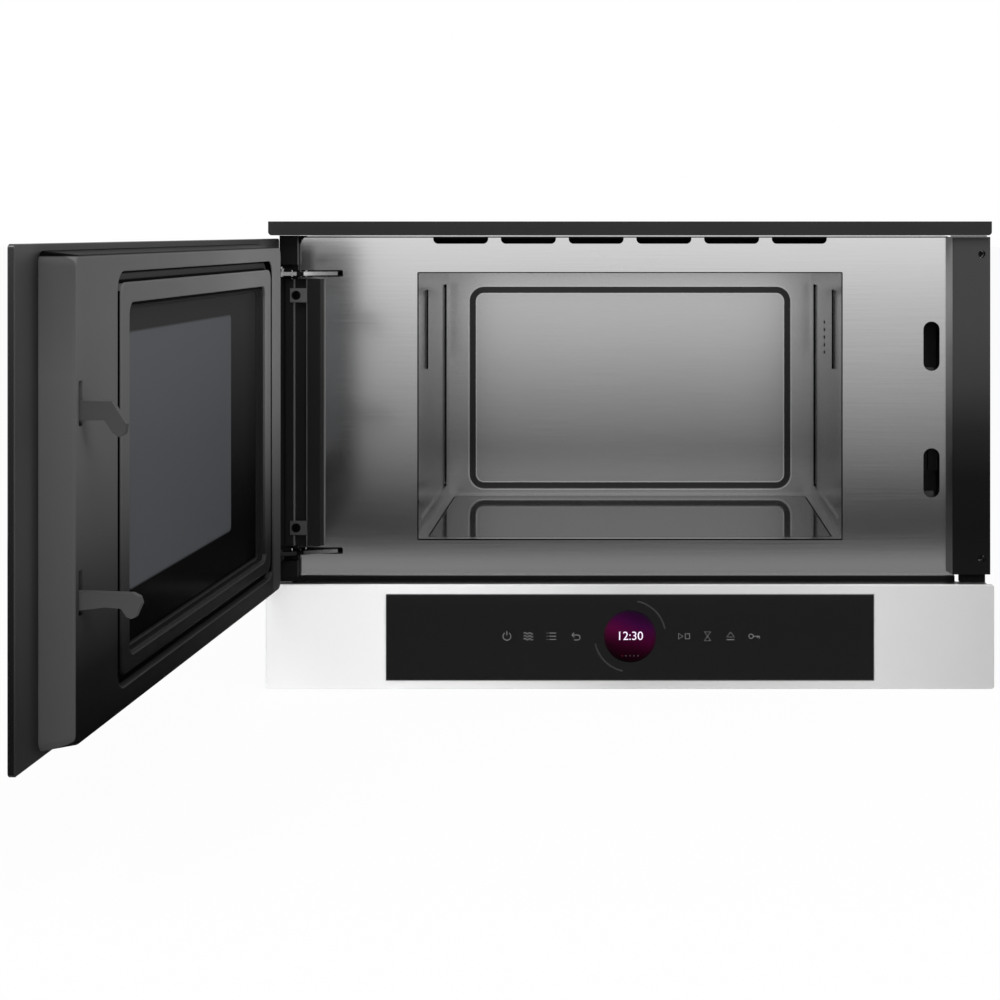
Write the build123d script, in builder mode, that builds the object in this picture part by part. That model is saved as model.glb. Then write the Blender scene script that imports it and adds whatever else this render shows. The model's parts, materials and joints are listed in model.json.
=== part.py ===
"""Built-in microwave with a side-hinged door, at rest with the door open. Millimetres, +Z up.

The origin is on the underside, midway across, in the front plane of the furniture that the
appliance is built into. +Y goes back into the furniture. The door, the control panel and the
two side columns stand in front of the furniture, at -Y.
"""
from math import cos, radians, sin
import os

from build123d import *

os.makedirs("parts", exist_ok=True)

# Front
front_w = 594.0
front_h = 382.0
front_stand = 18.0
top_bar_w = 590.0
top_bar_h = 11.4
top_bar_wall = 2.2

# Body
body_w = 536.0
body_d = 299.0
body_h = 361.0
sheet = 1.0
cover_r = 4.0
seat_gap = 0.3
base_tongue = 12.0

# Cavity
cavity_w = 350.0
cavity_h = 220.0
cavity_d = 276.0
cavity_z = 119.4
opening_gap = 0.6
front_flange = 9.0
rear_flange = 6.0
emboss = 2.0
emboss_y = (29.5, 258.5)
emboss_z = (131.4, 323.4)
tab_y = (86.5, 209.5)
tab_z = 254.4
bead_w = 310.0
bead_h = 195.0
bead_band = 6.0
bead_r = 14.0
bead_z = 222.5
bead_depth = 2.5
light_slots = 5
light_slot_l = 14.0
light_slot_h = 2.6
light_slot_pitch = 6.8
light_slot_y = 151.0
light_slot_z = 278.5

# Glass-ceramic floor and the stirrer well below it
ceramic_w = 336.0
ceramic_d = 254.0
ceramic_t = 5.0
ceramic_inset = 10.5
ceramic_r = 8.0
ceramic_gap = 0.6
well_r = 105.0
well_depth = 15.0
stirrer_y = 137.5

# Steel front plate
plate_left = 272.7
plate_right = 268.0
plate_bottom = 87.0
plate_top = 370.4
plate_corner_r = 9.0
plate_flange = 12.0
vent_count = 6
vent_pitch = 56.0
vent_w = 45.4
vent_z = (363.6, 368.9)
vent_r = 4.0
latch_slot_x = 249.3
latch_slot_w = 13.4
latch_slot_h = 40.8
latch_slot_z = (278.9, 174.1)

# Door
door_t = 22.5
door_gap = 0.8
open_angle = 93.3
hinge_x = -286.0
hinge_y = -10.7
glass_x = (-295.5, 297.0)
glass_z = (87.5, 368.0)
glass_t = 4.0
glass_r = 2.5
frame_x = (-225.0, 262.0)
frame_z = (91.0, 364.0)
frame_draft_x = 6.0
frame_draft_z = 2.4
frame_r = 7.0
frame_wall = 2.2
choke_w = 373.0
choke_z = (106.9, 349.0)
choke_r = 12.0
groove_w = 7.0
groove_depth = 5.0
window_w = 331.0
window_z = (122.5, 331.5)
window_r = 8.0
window_step = 4.5
window_step_depth = 4.0
pane_t = 3.0
pane_border = 9.0
pane_n = 14.4
screen_t = 0.6
choke_wall = 1.0

# Hinges
arm_t = 3.0
arm_z = (339.1, 109.9)
hinge_slot_x = (-272.0, -237.4)
hinge_slot_h = 5.4
arm_x = (-269.6, -241.5)
arm_root_x = -264.8
arm_depth = 34.0
eye_r = 3.0
pin_r = 1.6
pin_clearance = 0.05
lug_t = 2.5
leaf_x = (-262.0, -206.0)
leaf_h = 26.0
leaf_t = 1.6

# Latch
hook_x = 247.8
hook_t = 5.0
hook_top = (281.5, 177.5)
latch_lift = 5.0
catch_lift = 9.5
bar_n = (8.0, 16.0)
bar_z = (150.0, 296.0)
spring_turns = 7
spring_wire_r = 0.5
spring_r = 2.6
spring_l = 22.0

# Columns and hinge cover
column_x = (263.8, 294.9)
column_z = (93.2, 369.3)
column_stand = 12.5
column_draft = 2.7
column_wall = 2.4
fixing_r = 3.0
right_fixing_x = 287.8
right_fixing_z = (355.2, 106.0)
left_fixing_x = -274.5
left_fixing_z = (321.3, 130.1)
left_column_x = (-288.0, -273.2)
left_stand = 5.0
strip_x = -279.0
arm_notch = 4.0
cover_x = (-284.8, -251.8)
cover_z = (114.9, 334.7)
cover_stand = 3.0
cover_seat = 2.8
channel_x = (-279.4, -268.4)
channel_depth = 4.4
tab_w = 14.0
tab_h = 11.5
tab_t = 1.6

# Control panel
fascia_z = (0.8, 85.8)
fascia_t = 3.6
fascia_r = 2.5
control_w = 398.0
control_z = (7.7, 78.2)
control_t = 3.0
control_proud = 0.2
display_z = 43.9
display_r = 21.6
carrier_side = 292.0
carrier_wall = 2.4
carrier_depth = 24.0
strip_top = 89.5

# Interior
interlock_x = (238.0, 262.0)
interlock_z = (146.0, 312.0)
interlock_d = 48.0
interlock_wall = 2.0
fan_x = 221.0
fan_z = 162.0
fan_size = 80.0
fan_t = 25.0
fan_y = body_d - sheet - seat_gap - fan_t
fan_bore_r = 37.5
fan_blade_r = 36.5
fan_hub_r = 14.0
fan_blades = 7
magnetron_x = (186.0, 258.0)
magnetron_y = (100.0, 176.0)
magnetron_z = (118.0, 206.0)
antenna_r = 9.0
waveguide_x = (-52.0, 262.0)
waveguide_y = (94.0, 181.0)
waveguide_h = 41.0
stirrer_shaft_r = 4.0
stirrer_bush_r = 7.0
stirrer_blade_l = 150.0
stirrer_blade_w = 46.0
stirrer_t = 1.5

plate_y = -front_stand + door_t + door_gap
plate_back = plate_y + sheet
cavity_top = cavity_z + cavity_h
cavity_back = plate_y + cavity_d
open_cos = cos(radians(open_angle))
open_sin = sin(radians(open_angle))


def middle(pair):
    return (pair[0] + pair[1]) / 2


def block(x, y, z, mode=Mode.ADD):
    """A box between two values on each axis, in the part being built."""
    with Locations((middle(x), middle(y), middle(z))):
        Box(x[1] - x[0], y[1] - y[0], z[1] - z[0], mode=mode)


def front(y):
    """An upright plane at depth y that faces the user: local x is X and local y is Z."""
    return Plane(origin=(0, y, 0), x_dir=(1, 0, 0), z_dir=(0, -1, 0))


def opened(x, y, z):
    """Where a point of the closed door is when the door stands open."""
    dx = x - hinge_x
    dy = y - hinge_y
    return (hinge_x + open_cos * dx + open_sin * dy, hinge_y - open_sin * dx + open_cos * dy, z)


door_along = (open_cos, -open_sin, 0)
door_inward = (open_sin, open_cos, 0)
door_outward = (-open_sin, -open_cos, 0)


def door_face(n):
    """The open door's plane n behind its outer face: local x and y are the closed door's X and Z."""
    return Plane(origin=opened(0, n - front_stand, 0), x_dir=door_along, z_dir=door_outward)


def door_level(z):
    """A level plane of the open door: local x and y are the closed door's X and Y."""
    return Plane(origin=opened(0, 0, z), x_dir=door_along, z_dir=(0, 0, 1))


def door_section(x):
    """An upright cross-section of the open door: local x and y are the closed door's Y and Z."""
    return Plane(origin=opened(x, 0, 0), x_dir=door_inward, z_dir=door_along)


def panel(x, z, r=0.0, mode=Mode.ADD):
    """A rectangle between two values on each axis, with round corners where r is given."""
    with Locations((middle(x), middle(z))):
        if r > 0:
            RectangleRounded(x[1] - x[0], z[1] - z[0], r, mode=mode)
        else:
            Rectangle(x[1] - x[0], z[1] - z[0], mode=mode)


def around(width, z, grow=0.0):
    """A centred width and a height span, each side moved out by grow."""
    return (-width / 2 - grow, width / 2 + grow), (z[0] - grow, z[1] + grow)


def save(piece, name):
    piece.part.label = name
    export_step(piece.part, "parts/" + name + ".step")


# Base plate: it carries everything, and its front tongue carries the control panel
with BuildPart() as base_plate:
    block((-body_w / 2, body_w / 2), (-base_tongue, body_d), (0, sheet))
    for side in (-1, 1):
        flange_x = side * (body_w / 2 - sheet - seat_gap - sheet / 2)
        block((flange_x - sheet / 2, flange_x + sheet / 2), (plate_back + carrier_depth + 1, body_d - 6), (sheet, 12))
    # raised air inlet slots under the electronics
    with Locations((-150, 200, 0)):
        with GridLocations(12, 40, 9, 2):
            Box(4, 30, 4 * sheet, mode=Mode.SUBTRACT)
save(base_plate, "base_plate")

# Outer cover: one folded sheet, top and both sides, with outlet slots towards the back
with BuildPart() as outer_cover:
    cover_front = plate_back + seat_gap
    cover_back = body_d - sheet - seat_gap
    with BuildSketch(front(cover_front)) as cover_section:
        panel((-body_w / 2, body_w / 2), (sheet, body_h))
        fillet(cover_section.vertices().group_by(Axis.Y)[-1], radius=cover_r)
        panel(
            (-body_w / 2 + sheet, body_w / 2 - sheet),
            (-2 * cover_r, body_h - sheet),
            cover_r - sheet,
            mode=Mode.SUBTRACT,
        )
    extrude(amount=cover_front - cover_back)
    with Locations((150, 230, body_h)):
        with GridLocations(13, 50, 12, 2):
            Box(5, 40, 6 * sheet, mode=Mode.SUBTRACT)
save(outer_cover, "outer_cover")

# Rear panel: flat sheet with a fan grille, an outlet field and the hole for the mains inlet
inlet_x = -225.0
inlet_z = 60.0
inlet_r = 9.0
with BuildPart() as rear_panel:
    with BuildSketch(front(body_d - sheet)):
        panel((-body_w / 2, body_w / 2), (sheet, body_h))
        with Locations((fan_x, fan_z)):
            with PolarLocations(fan_hub_r + 4, 8):
                SlotCenterToCenter(2 * (fan_hub_r - 6), 6, mode=Mode.SUBTRACT)
            with PolarLocations(fan_bore_r - 8, 16):
                SlotCenterToCenter(8, 5, mode=Mode.SUBTRACT)
        with Locations((-130, 180)):
            with GridLocations(14, 46, 12, 3):
                SlotOverall(38, 5, rotation=90, mode=Mode.SUBTRACT)
        with Locations((inlet_x, inlet_z)):
            Circle(inlet_r, mode=Mode.SUBTRACT)
    extrude(amount=-sheet)
save(rear_panel, "rear_panel")

ceramic_front = plate_y + ceramic_inset
ceramic_back = ceramic_front + ceramic_d
pan_z = cavity_z - ceramic_t
well_z = pan_z - well_depth


def side_pressing(side, grow):
    """Outline of a side wall's pressed field, with a flat tab that hangs from its top edge."""
    with BuildSketch(Plane.YZ.offset(side * cavity_w / 2)) as field:
        panel(
            (emboss_y[0] - grow, emboss_y[1] + grow),
            (emboss_z[0] - grow, emboss_z[1] + grow),
            3 + grow,
        )
        panel(
            (tab_y[0] + grow, tab_y[1] - grow),
            (tab_z + grow, emboss_z[1] + 2 * grow + 4),
            mode=Mode.SUBTRACT,
        )
    return field.sketch


# Cavity wrapper: the top and both sides in one folded stainless sheet, with pressed side fields
with BuildPart() as cavity_wrapper:
    block(
        (-cavity_w / 2 - sheet, cavity_w / 2 + sheet),
        (plate_back, cavity_back),
        (cavity_z - sheet, cavity_top + sheet),
    )
    for side in (-1, 1):
        extrude(side_pressing(side, sheet), amount=side * (emboss + sheet))
    for flange_y, flange_w in ((plate_back, front_flange), (cavity_back - sheet, rear_flange)):
        block(
            (-cavity_w / 2 - flange_w, cavity_w / 2 + flange_w),
            (flange_y, flange_y + sheet),
            (cavity_z - sheet, cavity_top + flange_w),
        )
    block(
        (-cavity_w / 2, cavity_w / 2),
        (plate_back - 1, cavity_back + 1),
        (cavity_z - 2 * sheet, cavity_top),
        mode=Mode.SUBTRACT,
    )
    for side in (-1, 1):
        extrude(side_pressing(side, 0), amount=side * emboss, mode=Mode.SUBTRACT)
    # light and air slots in the right wall
    with BuildSketch(Plane.YZ.offset(cavity_w / 2 - 1)):
        with Locations((light_slot_y, light_slot_z)):
            with GridLocations(1, light_slot_pitch, 1, light_slots):
                SlotOverall(light_slot_l, light_slot_h)
    extrude(amount=sheet + 2, mode=Mode.SUBTRACT)
save(cavity_wrapper, "cavity_wrapper")

# Cavity rear wall: flat sheet with a bead pressed round it, spot-welded to the wrapper's flange
with BuildPart() as cavity_rear_wall:
    with BuildSketch(front(cavity_back)):
        panel(
            (-cavity_w / 2 - rear_flange, cavity_w / 2 + rear_flange),
            (cavity_z - sheet, cavity_top + rear_flange),
            2,
        )
    extrude(amount=-sheet)
    for grow, depth, mode in ((sheet, bead_depth + sheet, Mode.ADD), (0, bead_depth, Mode.SUBTRACT)):
        with BuildSketch(front(cavity_back)) as bead:
            with Locations((0, bead_z)):
                RectangleRounded(bead_w + 2 * grow, bead_h + 2 * grow, bead_r + grow)
                RectangleRounded(
                    bead_w - 2 * bead_band - 2 * grow,
                    bead_h - 2 * bead_band - 2 * grow,
                    bead_r - bead_band - grow,
                    mode=Mode.SUBTRACT,
                )
        extrude(amount=-depth, mode=mode)
save(cavity_rear_wall, "cavity_rear_wall")

# Cavity floor: the pan that the glass-ceramic lies in, with the stirrer's round well below it
with BuildPart() as cavity_floor:
    block((-cavity_w / 2, cavity_w / 2), (plate_back, cavity_back), (cavity_z - sheet, cavity_z))
    block(
        (-cavity_w / 2 - front_flange, cavity_w / 2 + front_flange),
        (plate_back, plate_back + sheet),
        (cavity_z - front_flange, cavity_z - sheet),
    )
    block(
        (-ceramic_w / 2 - ceramic_gap - sheet, ceramic_w / 2 + ceramic_gap + sheet),
        (ceramic_front - ceramic_gap - sheet, ceramic_back + ceramic_gap + sheet),
        (pan_z - sheet, cavity_z),
    )
    with Locations((0, stirrer_y, well_z - sheet)):
        Cylinder(well_r + sheet, well_depth + sheet, align=(Align.CENTER, Align.CENTER, Align.MIN))
    with BuildSketch(Plane.XY.offset(pan_z)):
        with Locations((0, middle((ceramic_front, ceramic_back)))):
            RectangleRounded(ceramic_w + 2 * ceramic_gap, ceramic_d + 2 * ceramic_gap, ceramic_r)
    extrude(amount=ceramic_t + 1, mode=Mode.SUBTRACT)
    with Locations((0, stirrer_y, well_z)):
        Cylinder(well_r, well_depth + 1, align=(Align.CENTER, Align.CENTER, Align.MIN), mode=Mode.SUBTRACT)
    with Locations((0, stirrer_y, well_z - sheet - 1)):
        Cylinder(
            stirrer_bush_r + seat_gap,
            sheet + 2,
            align=(Align.CENTER, Align.CENTER, Align.MIN),
            mode=Mode.SUBTRACT,
        )
save(cavity_floor, "cavity_floor")

# Glass-ceramic floor, flush with the cavity's floor
with BuildPart() as ceramic_floor:
    with BuildSketch(Plane.XY.offset(pan_z)):
        with Locations((0, middle((ceramic_front, ceramic_back)))):
            RectangleRounded(ceramic_w, ceramic_d, ceramic_r)
    extrude(amount=ceramic_t)
    chamfer(ceramic_floor.faces().sort_by(Axis.Z)[-1].edges(), length=0.6)
save(ceramic_floor, "ceramic_floor")

# Front plate: brushed steel sheet with the cavity opening, vents, latch slots and hinge slots
with BuildPart() as front_plate:
    with BuildSketch(front(plate_y)) as plate_outline:
        panel((-plate_left, plate_right), (plate_bottom, plate_top))
        fillet(plate_outline.vertices().group_by(Axis.Y)[-1], radius=plate_corner_r)
        panel(*around(cavity_w, (cavity_z, cavity_top), opening_gap), mode=Mode.SUBTRACT)
        with Locations((latch_slot_x, latch_slot_z[0]), (latch_slot_x, latch_slot_z[1])):
            SlotOverall(latch_slot_h, latch_slot_w, rotation=90, mode=Mode.SUBTRACT)
        for z in arm_z:
            panel(hinge_slot_x, (z - hinge_slot_h / 2, z + hinge_slot_h / 2), 1.2, mode=Mode.SUBTRACT)
        with Locations((left_fixing_x, left_fixing_z[0]), (left_fixing_x, left_fixing_z[1])):
            Circle(fixing_r + 1, mode=Mode.SUBTRACT)
    extrude(amount=-sheet)
    # folded edges along the top and the bottom
    block(
        (-plate_left + plate_corner_r, plate_right - plate_corner_r),
        (plate_y, plate_y + plate_flange),
        (plate_top - sheet, plate_top),
    )
    block(
        (-plate_left + plate_corner_r, plate_right - plate_corner_r),
        (plate_y, plate_y + plate_flange),
        (plate_bottom, plate_bottom + sheet),
    )
    with BuildSketch(front(plate_y - 1)) as vents:
        with GridLocations(vent_pitch, 1, vent_count, 1):
            with Locations((0, middle(vent_z))):
                Rectangle(vent_w, vent_z[1] - vent_z[0])
        fillet(vents.vertices().group_by(Axis.Y)[0], radius=vent_r)
    extrude(amount=-(sheet + 2), mode=Mode.SUBTRACT)
save(front_plate, "front_plate")

# Top bar: black extruded profile above the door
with BuildPart() as top_bar:
    bar_low = front_h - top_bar_h
    with BuildSketch(front(-front_stand)) as bar_outline:
        panel((-top_bar_w / 2, top_bar_w / 2), (bar_low, front_h))
        fillet(bar_outline.vertices().group_by(Axis.Y)[0], radius=3)
    extrude(amount=-(front_stand - seat_gap))
    block((-body_w / 2, body_w / 2), (-seat_gap, plate_y + plate_flange), (bar_low, front_h - 2 * sheet))
    block(
        (-top_bar_w / 2 + top_bar_wall, top_bar_w / 2 - top_bar_wall),
        (-front_stand + top_bar_wall, -seat_gap - top_bar_wall),
        (bar_low + top_bar_wall, front_h - top_bar_wall),
        mode=Mode.SUBTRACT,
    )
    block(
        (-body_w / 2 + top_bar_wall, body_w / 2 - top_bar_wall),
        (-seat_gap - top_bar_wall - 1, plate_y + plate_flange - top_bar_wall),
        (bar_low + top_bar_wall, front_h - 2 * sheet - top_bar_wall),
        mode=Mode.SUBTRACT,
    )
save(top_bar, "top_bar")

# Right column: black drafted moulding that covers the latch side, screwed to the furniture
with BuildPart() as right_column:
    with BuildSketch(Plane.XY.offset(column_z[0])):
        with BuildLine():
            Polyline(
                (column_x[0], -column_stand),
                (column_x[1], -column_stand),
                (column_x[1], -seat_gap),
                (column_x[0] + 12, -seat_gap),
                (column_x[0] + 12, plate_y),
                (column_x[0] - column_draft, plate_y),
                close=True,
            )
        make_face()
    extrude(amount=column_z[1] - column_z[0])
    fillet(right_column.edges().filter_by(Axis.Z).group_by(Axis.Y)[0], radius=1.2)
    block(
        (column_x[0] + column_wall, column_x[1] - column_wall),
        (-column_stand + column_wall, plate_y + 1),
        (column_z[0] + column_wall, column_z[1] - column_wall),
        mode=Mode.SUBTRACT,
    )
    block(
        (column_x[0], column_x[0] + 12),
        (plate_y - 1.6, plate_y),
        (column_z[0] + 20, column_z[1] - 20),
    )
    for z in right_fixing_z:
        with Locations(Location((right_fixing_x, -seat_gap, z), (90, 0, 0))):
            Cylinder(
                fixing_r + 2.2,
                column_stand - seat_gap,
                align=(Align.CENTER, Align.CENTER, Align.MIN),
            )
        with Locations(Location((right_fixing_x, plate_y, z), (90, 0, 0))):
            Cylinder(
                fixing_r,
                column_stand + plate_y + 1,
                align=(Align.CENTER, Align.CENTER, Align.MIN),
                mode=Mode.SUBTRACT,
            )
save(right_column, "right_column")

# Left column: black profile beside the front plate, raised above and below the hinge cover
with BuildPart() as left_column:
    block((strip_x, left_column_x[1]), (-seat_gap, plate_back), (strip_top, plate_top))
    block(
        (strip_x - 1, left_column_x[1] + 1),
        (-seat_gap - 1, cover_seat + seat_gap),
        (cover_z[0] - seat_gap, cover_z[1] + seat_gap),
        mode=Mode.SUBTRACT,
    )
    top_block_z = arm_z[0] + 7.4
    low_block_z = arm_z[1] - 6.9
    block(left_column_x, (-left_stand, -seat_gap), (top_block_z, plate_top))
    block(left_column_x, (-left_stand, -seat_gap), (strip_top, low_block_z))
    for z in arm_z:
        block(
            (left_column_x[0] - 1, left_column_x[1] + 1),
            (-left_stand - 1, arm_notch),
            (z - hinge_slot_h / 2, z + hinge_slot_h / 2),
            mode=Mode.SUBTRACT,
        )
    with BuildSketch(front(-left_stand)):
        with Locations((left_fixing_x, left_fixing_z[0]), (left_fixing_x, left_fixing_z[1])):
            Circle(fixing_r)
    extrude(amount=-(left_stand + plate_back + 1), mode=Mode.SUBTRACT)
save(left_column, "left_column")

# Hinge cover: black moulding with an upright channel, over the hinge side of the front plate
with BuildPart() as hinge_cover:
    with BuildSketch(Plane.XY.offset(cover_z[0])):
        with BuildLine():
            Polyline(
                (cover_x[0], -seat_gap - 0.1),
                (cover_x[0], -cover_stand + 1.5),
                (cover_x[0] + 1.5, -cover_stand),
                (channel_x[0], -cover_stand),
                (channel_x[0], -cover_stand + channel_depth),
                (channel_x[1], -cover_stand + channel_depth),
                (channel_x[1], -cover_stand),
                (cover_x[1] - 3, -cover_stand),
                (cover_x[1], plate_y - 1.5),
                (cover_x[1], plate_y),
                (left_column_x[1] + 1, plate_y),
                (left_column_x[1] + 1, cover_seat),
                (channel_x[0] - 0.6, cover_seat),
                (channel_x[0] - 0.6, -seat_gap - 0.1),
                close=True,
            )
        make_face()
    extrude(amount=cover_z[1] - cover_z[0])
    with BuildSketch(front(-cover_stand - 1)):
        with Locations((left_fixing_x, left_fixing_z[0]), (left_fixing_x, left_fixing_z[1])):
            Circle(fixing_r + 1)
    extrude(amount=-(cover_stand + plate_back + 2), mode=Mode.SUBTRACT)
save(hinge_cover, "hinge_cover")

# Fixing tabs: steel lugs across the channel, each with a hole for a furniture screw
with BuildPart() as fixing_tabs:
    with BuildSketch(front(-cover_stand - tab_t)):
        for z in left_fixing_z:
            with Locations((left_fixing_x, z)):
                RectangleRounded(tab_w, tab_h, 1)
                Circle(fixing_r, mode=Mode.SUBTRACT)
    extrude(amount=-tab_t)
save(fixing_tabs, "fixing_tabs")

# Hinge arms: flat steel levers that come out of the slots in the front plate
with BuildPart() as hinge_arms:
    for z in arm_z:
        with BuildSketch(Plane.XY.offset(z - arm_t / 2)):
            with BuildLine():
                Polyline(
                    (hinge_x + 1.4, hinge_y - 2.6),
                    (arm_x[1], plate_y - 1),
                    (arm_x[1], plate_back + arm_depth),
                    (arm_root_x, plate_back + arm_depth),
                    (arm_root_x, plate_back - 0.4),
                    (arm_x[0], plate_back - 0.4),
                    (hinge_x - 1.9, hinge_y + 2.3),
                    close=True,
                )
            make_face()
            with Locations((hinge_x, hinge_y)):
                Circle(eye_r)
                Circle(pin_r, mode=Mode.SUBTRACT)
        extrude(amount=arm_t)
save(hinge_arms, "hinge_arms")

# Hinge pins: riveted in the arms' eyes; the door's lugs turn on them
with BuildPart() as hinge_pins:
    for z, up in zip(arm_z, (1, -1)):
        pin_l = arm_t + 2 * seat_gap + lug_t + 1.2
        with Locations((hinge_x, hinge_y, z - up * arm_t / 2 + up * pin_l / 2)):
            Cylinder(pin_r, pin_l)
        with Locations((hinge_x, hinge_y, z - up * (arm_t / 2 + 0.5))):
            Cylinder(pin_r + 0.8, 1.0)
save(hinge_pins, "hinge_pins")

# Hinge housings: folded steel boxes behind the front plate that hold the arms' roots
housing_wall = 1.5
with BuildPart() as hinge_housings:
    for z in arm_z:
        half = hinge_slot_h / 2 + 3
        housing_x = (-body_w / 2 + sheet + seat_gap, arm_x[1] + 5)
        block(housing_x, (plate_back, plate_back + arm_depth + 6), (z - half, z + half))
        block(
            (housing_x[0] + housing_wall, housing_x[1] - housing_wall),
            (plate_back - 1, plate_back + arm_depth + 6 - housing_wall),
            (z - arm_t / 2, z + arm_t / 2),
            mode=Mode.SUBTRACT,
        )
save(hinge_housings, "hinge_housings")

# Control panel: white front panel with a pocket for the glass
with BuildPart() as fascia_panel:
    with BuildSketch(front(-front_stand)):
        panel((-front_w / 2, front_w / 2), fascia_z, fascia_r)
        panel(*around(control_w - 16, (control_z[0] + 8, control_z[1] - 8)), mode=Mode.SUBTRACT)
    extrude(amount=-fascia_t)
    pocket_t = control_t - control_proud
    with BuildSketch(front(-front_stand)):
        panel(*around(control_w, control_z, 0.2))
    extrude(amount=-pocket_t, mode=Mode.SUBTRACT)
    fillet(fascia_panel.faces().sort_by(Axis.Y)[0].outer_wire().edges(), radius=0.8)
save(fascia_panel, "fascia_panel")

with BuildPart() as control_glass:
    with BuildSketch(front(-front_stand - control_proud)):
        panel(*around(control_w, control_z), r=1.0)
    extrude(amount=-control_t)
    chamfer(control_glass.faces().sort_by(Axis.Y)[0].edges(), length=0.3)
save(control_glass, "control_glass")

# Panel carrier: black moulding that holds the panel, with the dark ledge under the door
with BuildPart() as panel_carrier:
    carrier_y = -front_stand + fascia_t
    carrier_inner = body_w / 2 - sheet - seat_gap
    block((-carrier_side, carrier_side), (carrier_y, -seat_gap), (fascia_z[0] + 0.8, fascia_z[1] - 0.4))
    block((-body_w / 2, body_w / 2), (-seat_gap - 1, plate_back), (sheet + seat_gap, fascia_z[1] - 0.4))
    block(
        (-carrier_inner, carrier_inner),
        (plate_back, plate_back + carrier_depth),
        (sheet + seat_gap, fascia_z[1] - 0.4),
    )
    block((-body_w / 2, body_w / 2), (plate_y - 2.5, plate_y), (fascia_z[1] - 0.4 - 1, strip_top))
    block(
        (-carrier_side + carrier_wall, carrier_side - carrier_wall),
        (carrier_y - 1, -seat_gap - carrier_wall),
        (fascia_z[0] + 0.8 + carrier_wall, fascia_z[1] - 0.4 - carrier_wall),
        mode=Mode.SUBTRACT,
    )
    block(
        (-carrier_inner + carrier_wall, carrier_inner - carrier_wall),
        (-seat_gap - carrier_wall - 2, plate_back + carrier_depth - carrier_wall),
        (sheet + seat_gap + carrier_wall, fascia_z[1] - 0.4 - carrier_wall),
        mode=Mode.SUBTRACT,
    )
    # the base plate's tongue passes below the front part
    block(
        (-body_w / 2 - seat_gap, body_w / 2 + seat_gap),
        (-base_tongue - seat_gap, plate_back + carrier_depth + 1),
        (-1, sheet + seat_gap),
        mode=Mode.SUBTRACT,
    )
    plate_screws = 4
    with Locations((0, plate_y + plate_flange / 2 + 4, fascia_z[1] - 2)):
        with GridLocations(150, 1, plate_screws, 1):
            Cylinder(1.6, 8, mode=Mode.SUBTRACT)
save(panel_carrier, "panel_carrier")

# Display and touch electronics behind the control glass
board_y = -front_stand - control_proud + control_t
with BuildPart() as display_module:
    with BuildSketch(front(board_y + 0.1)):
        with Locations((0, display_z)):
            RectangleRounded(58, 52, 3)
    extrude(amount=-6)
    with BuildSketch(front(board_y)):
        with Locations((0, display_z)):
            Circle(display_r)
    extrude(amount=-1)
save(display_module, "display_module")

board_stand = 7.0
with BuildPart() as control_board:
    with BuildSketch(front(board_y + board_stand)):
        panel(*around(370, (control_z[0] + 9, control_z[1] - 9)))
    extrude(amount=-1.6)
    for x in (-150, -60, 70, 150):
        block((x - 12, x + 12), (board_y + board_stand + 1.6, board_y + board_stand + 8), (24, 40))
save(control_board, "control_board")

# Touch sensor strips pressed against the glass, one on each side of the display
with BuildPart() as touch_sensors:
    for x in (-122.0, 122.0):
        block((x - 62, x + 62), (board_y + 0.1, board_y + board_stand), (display_z - 16, display_z + 16))
save(touch_sensors, "touch_sensors")

# Door: outer glass, bonded to the moulded frame
with BuildPart() as door_glass:
    with BuildSketch(door_face(0)):
        panel(glass_x, glass_z, glass_r)
    extrude(amount=-glass_t)
    chamfer(door_glass.faces().sort_by(Axis.X)[0].edges(), length=0.5)
save(door_glass, "door_glass")


def frame_outline(n, inset, r):
    """The frame's drafted outer form at depth n, moved in by inset."""
    share = (n - glass_t) / (door_t - glass_t)
    dx = inset + frame_draft_x * share
    dz = inset + frame_draft_z * share
    with BuildSketch(door_face(n)) as outline:
        panel((frame_x[0] + dx, frame_x[1] - dx), (frame_z[0] + dz, frame_z[1] - dz), r)
    return outline.sketch


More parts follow.
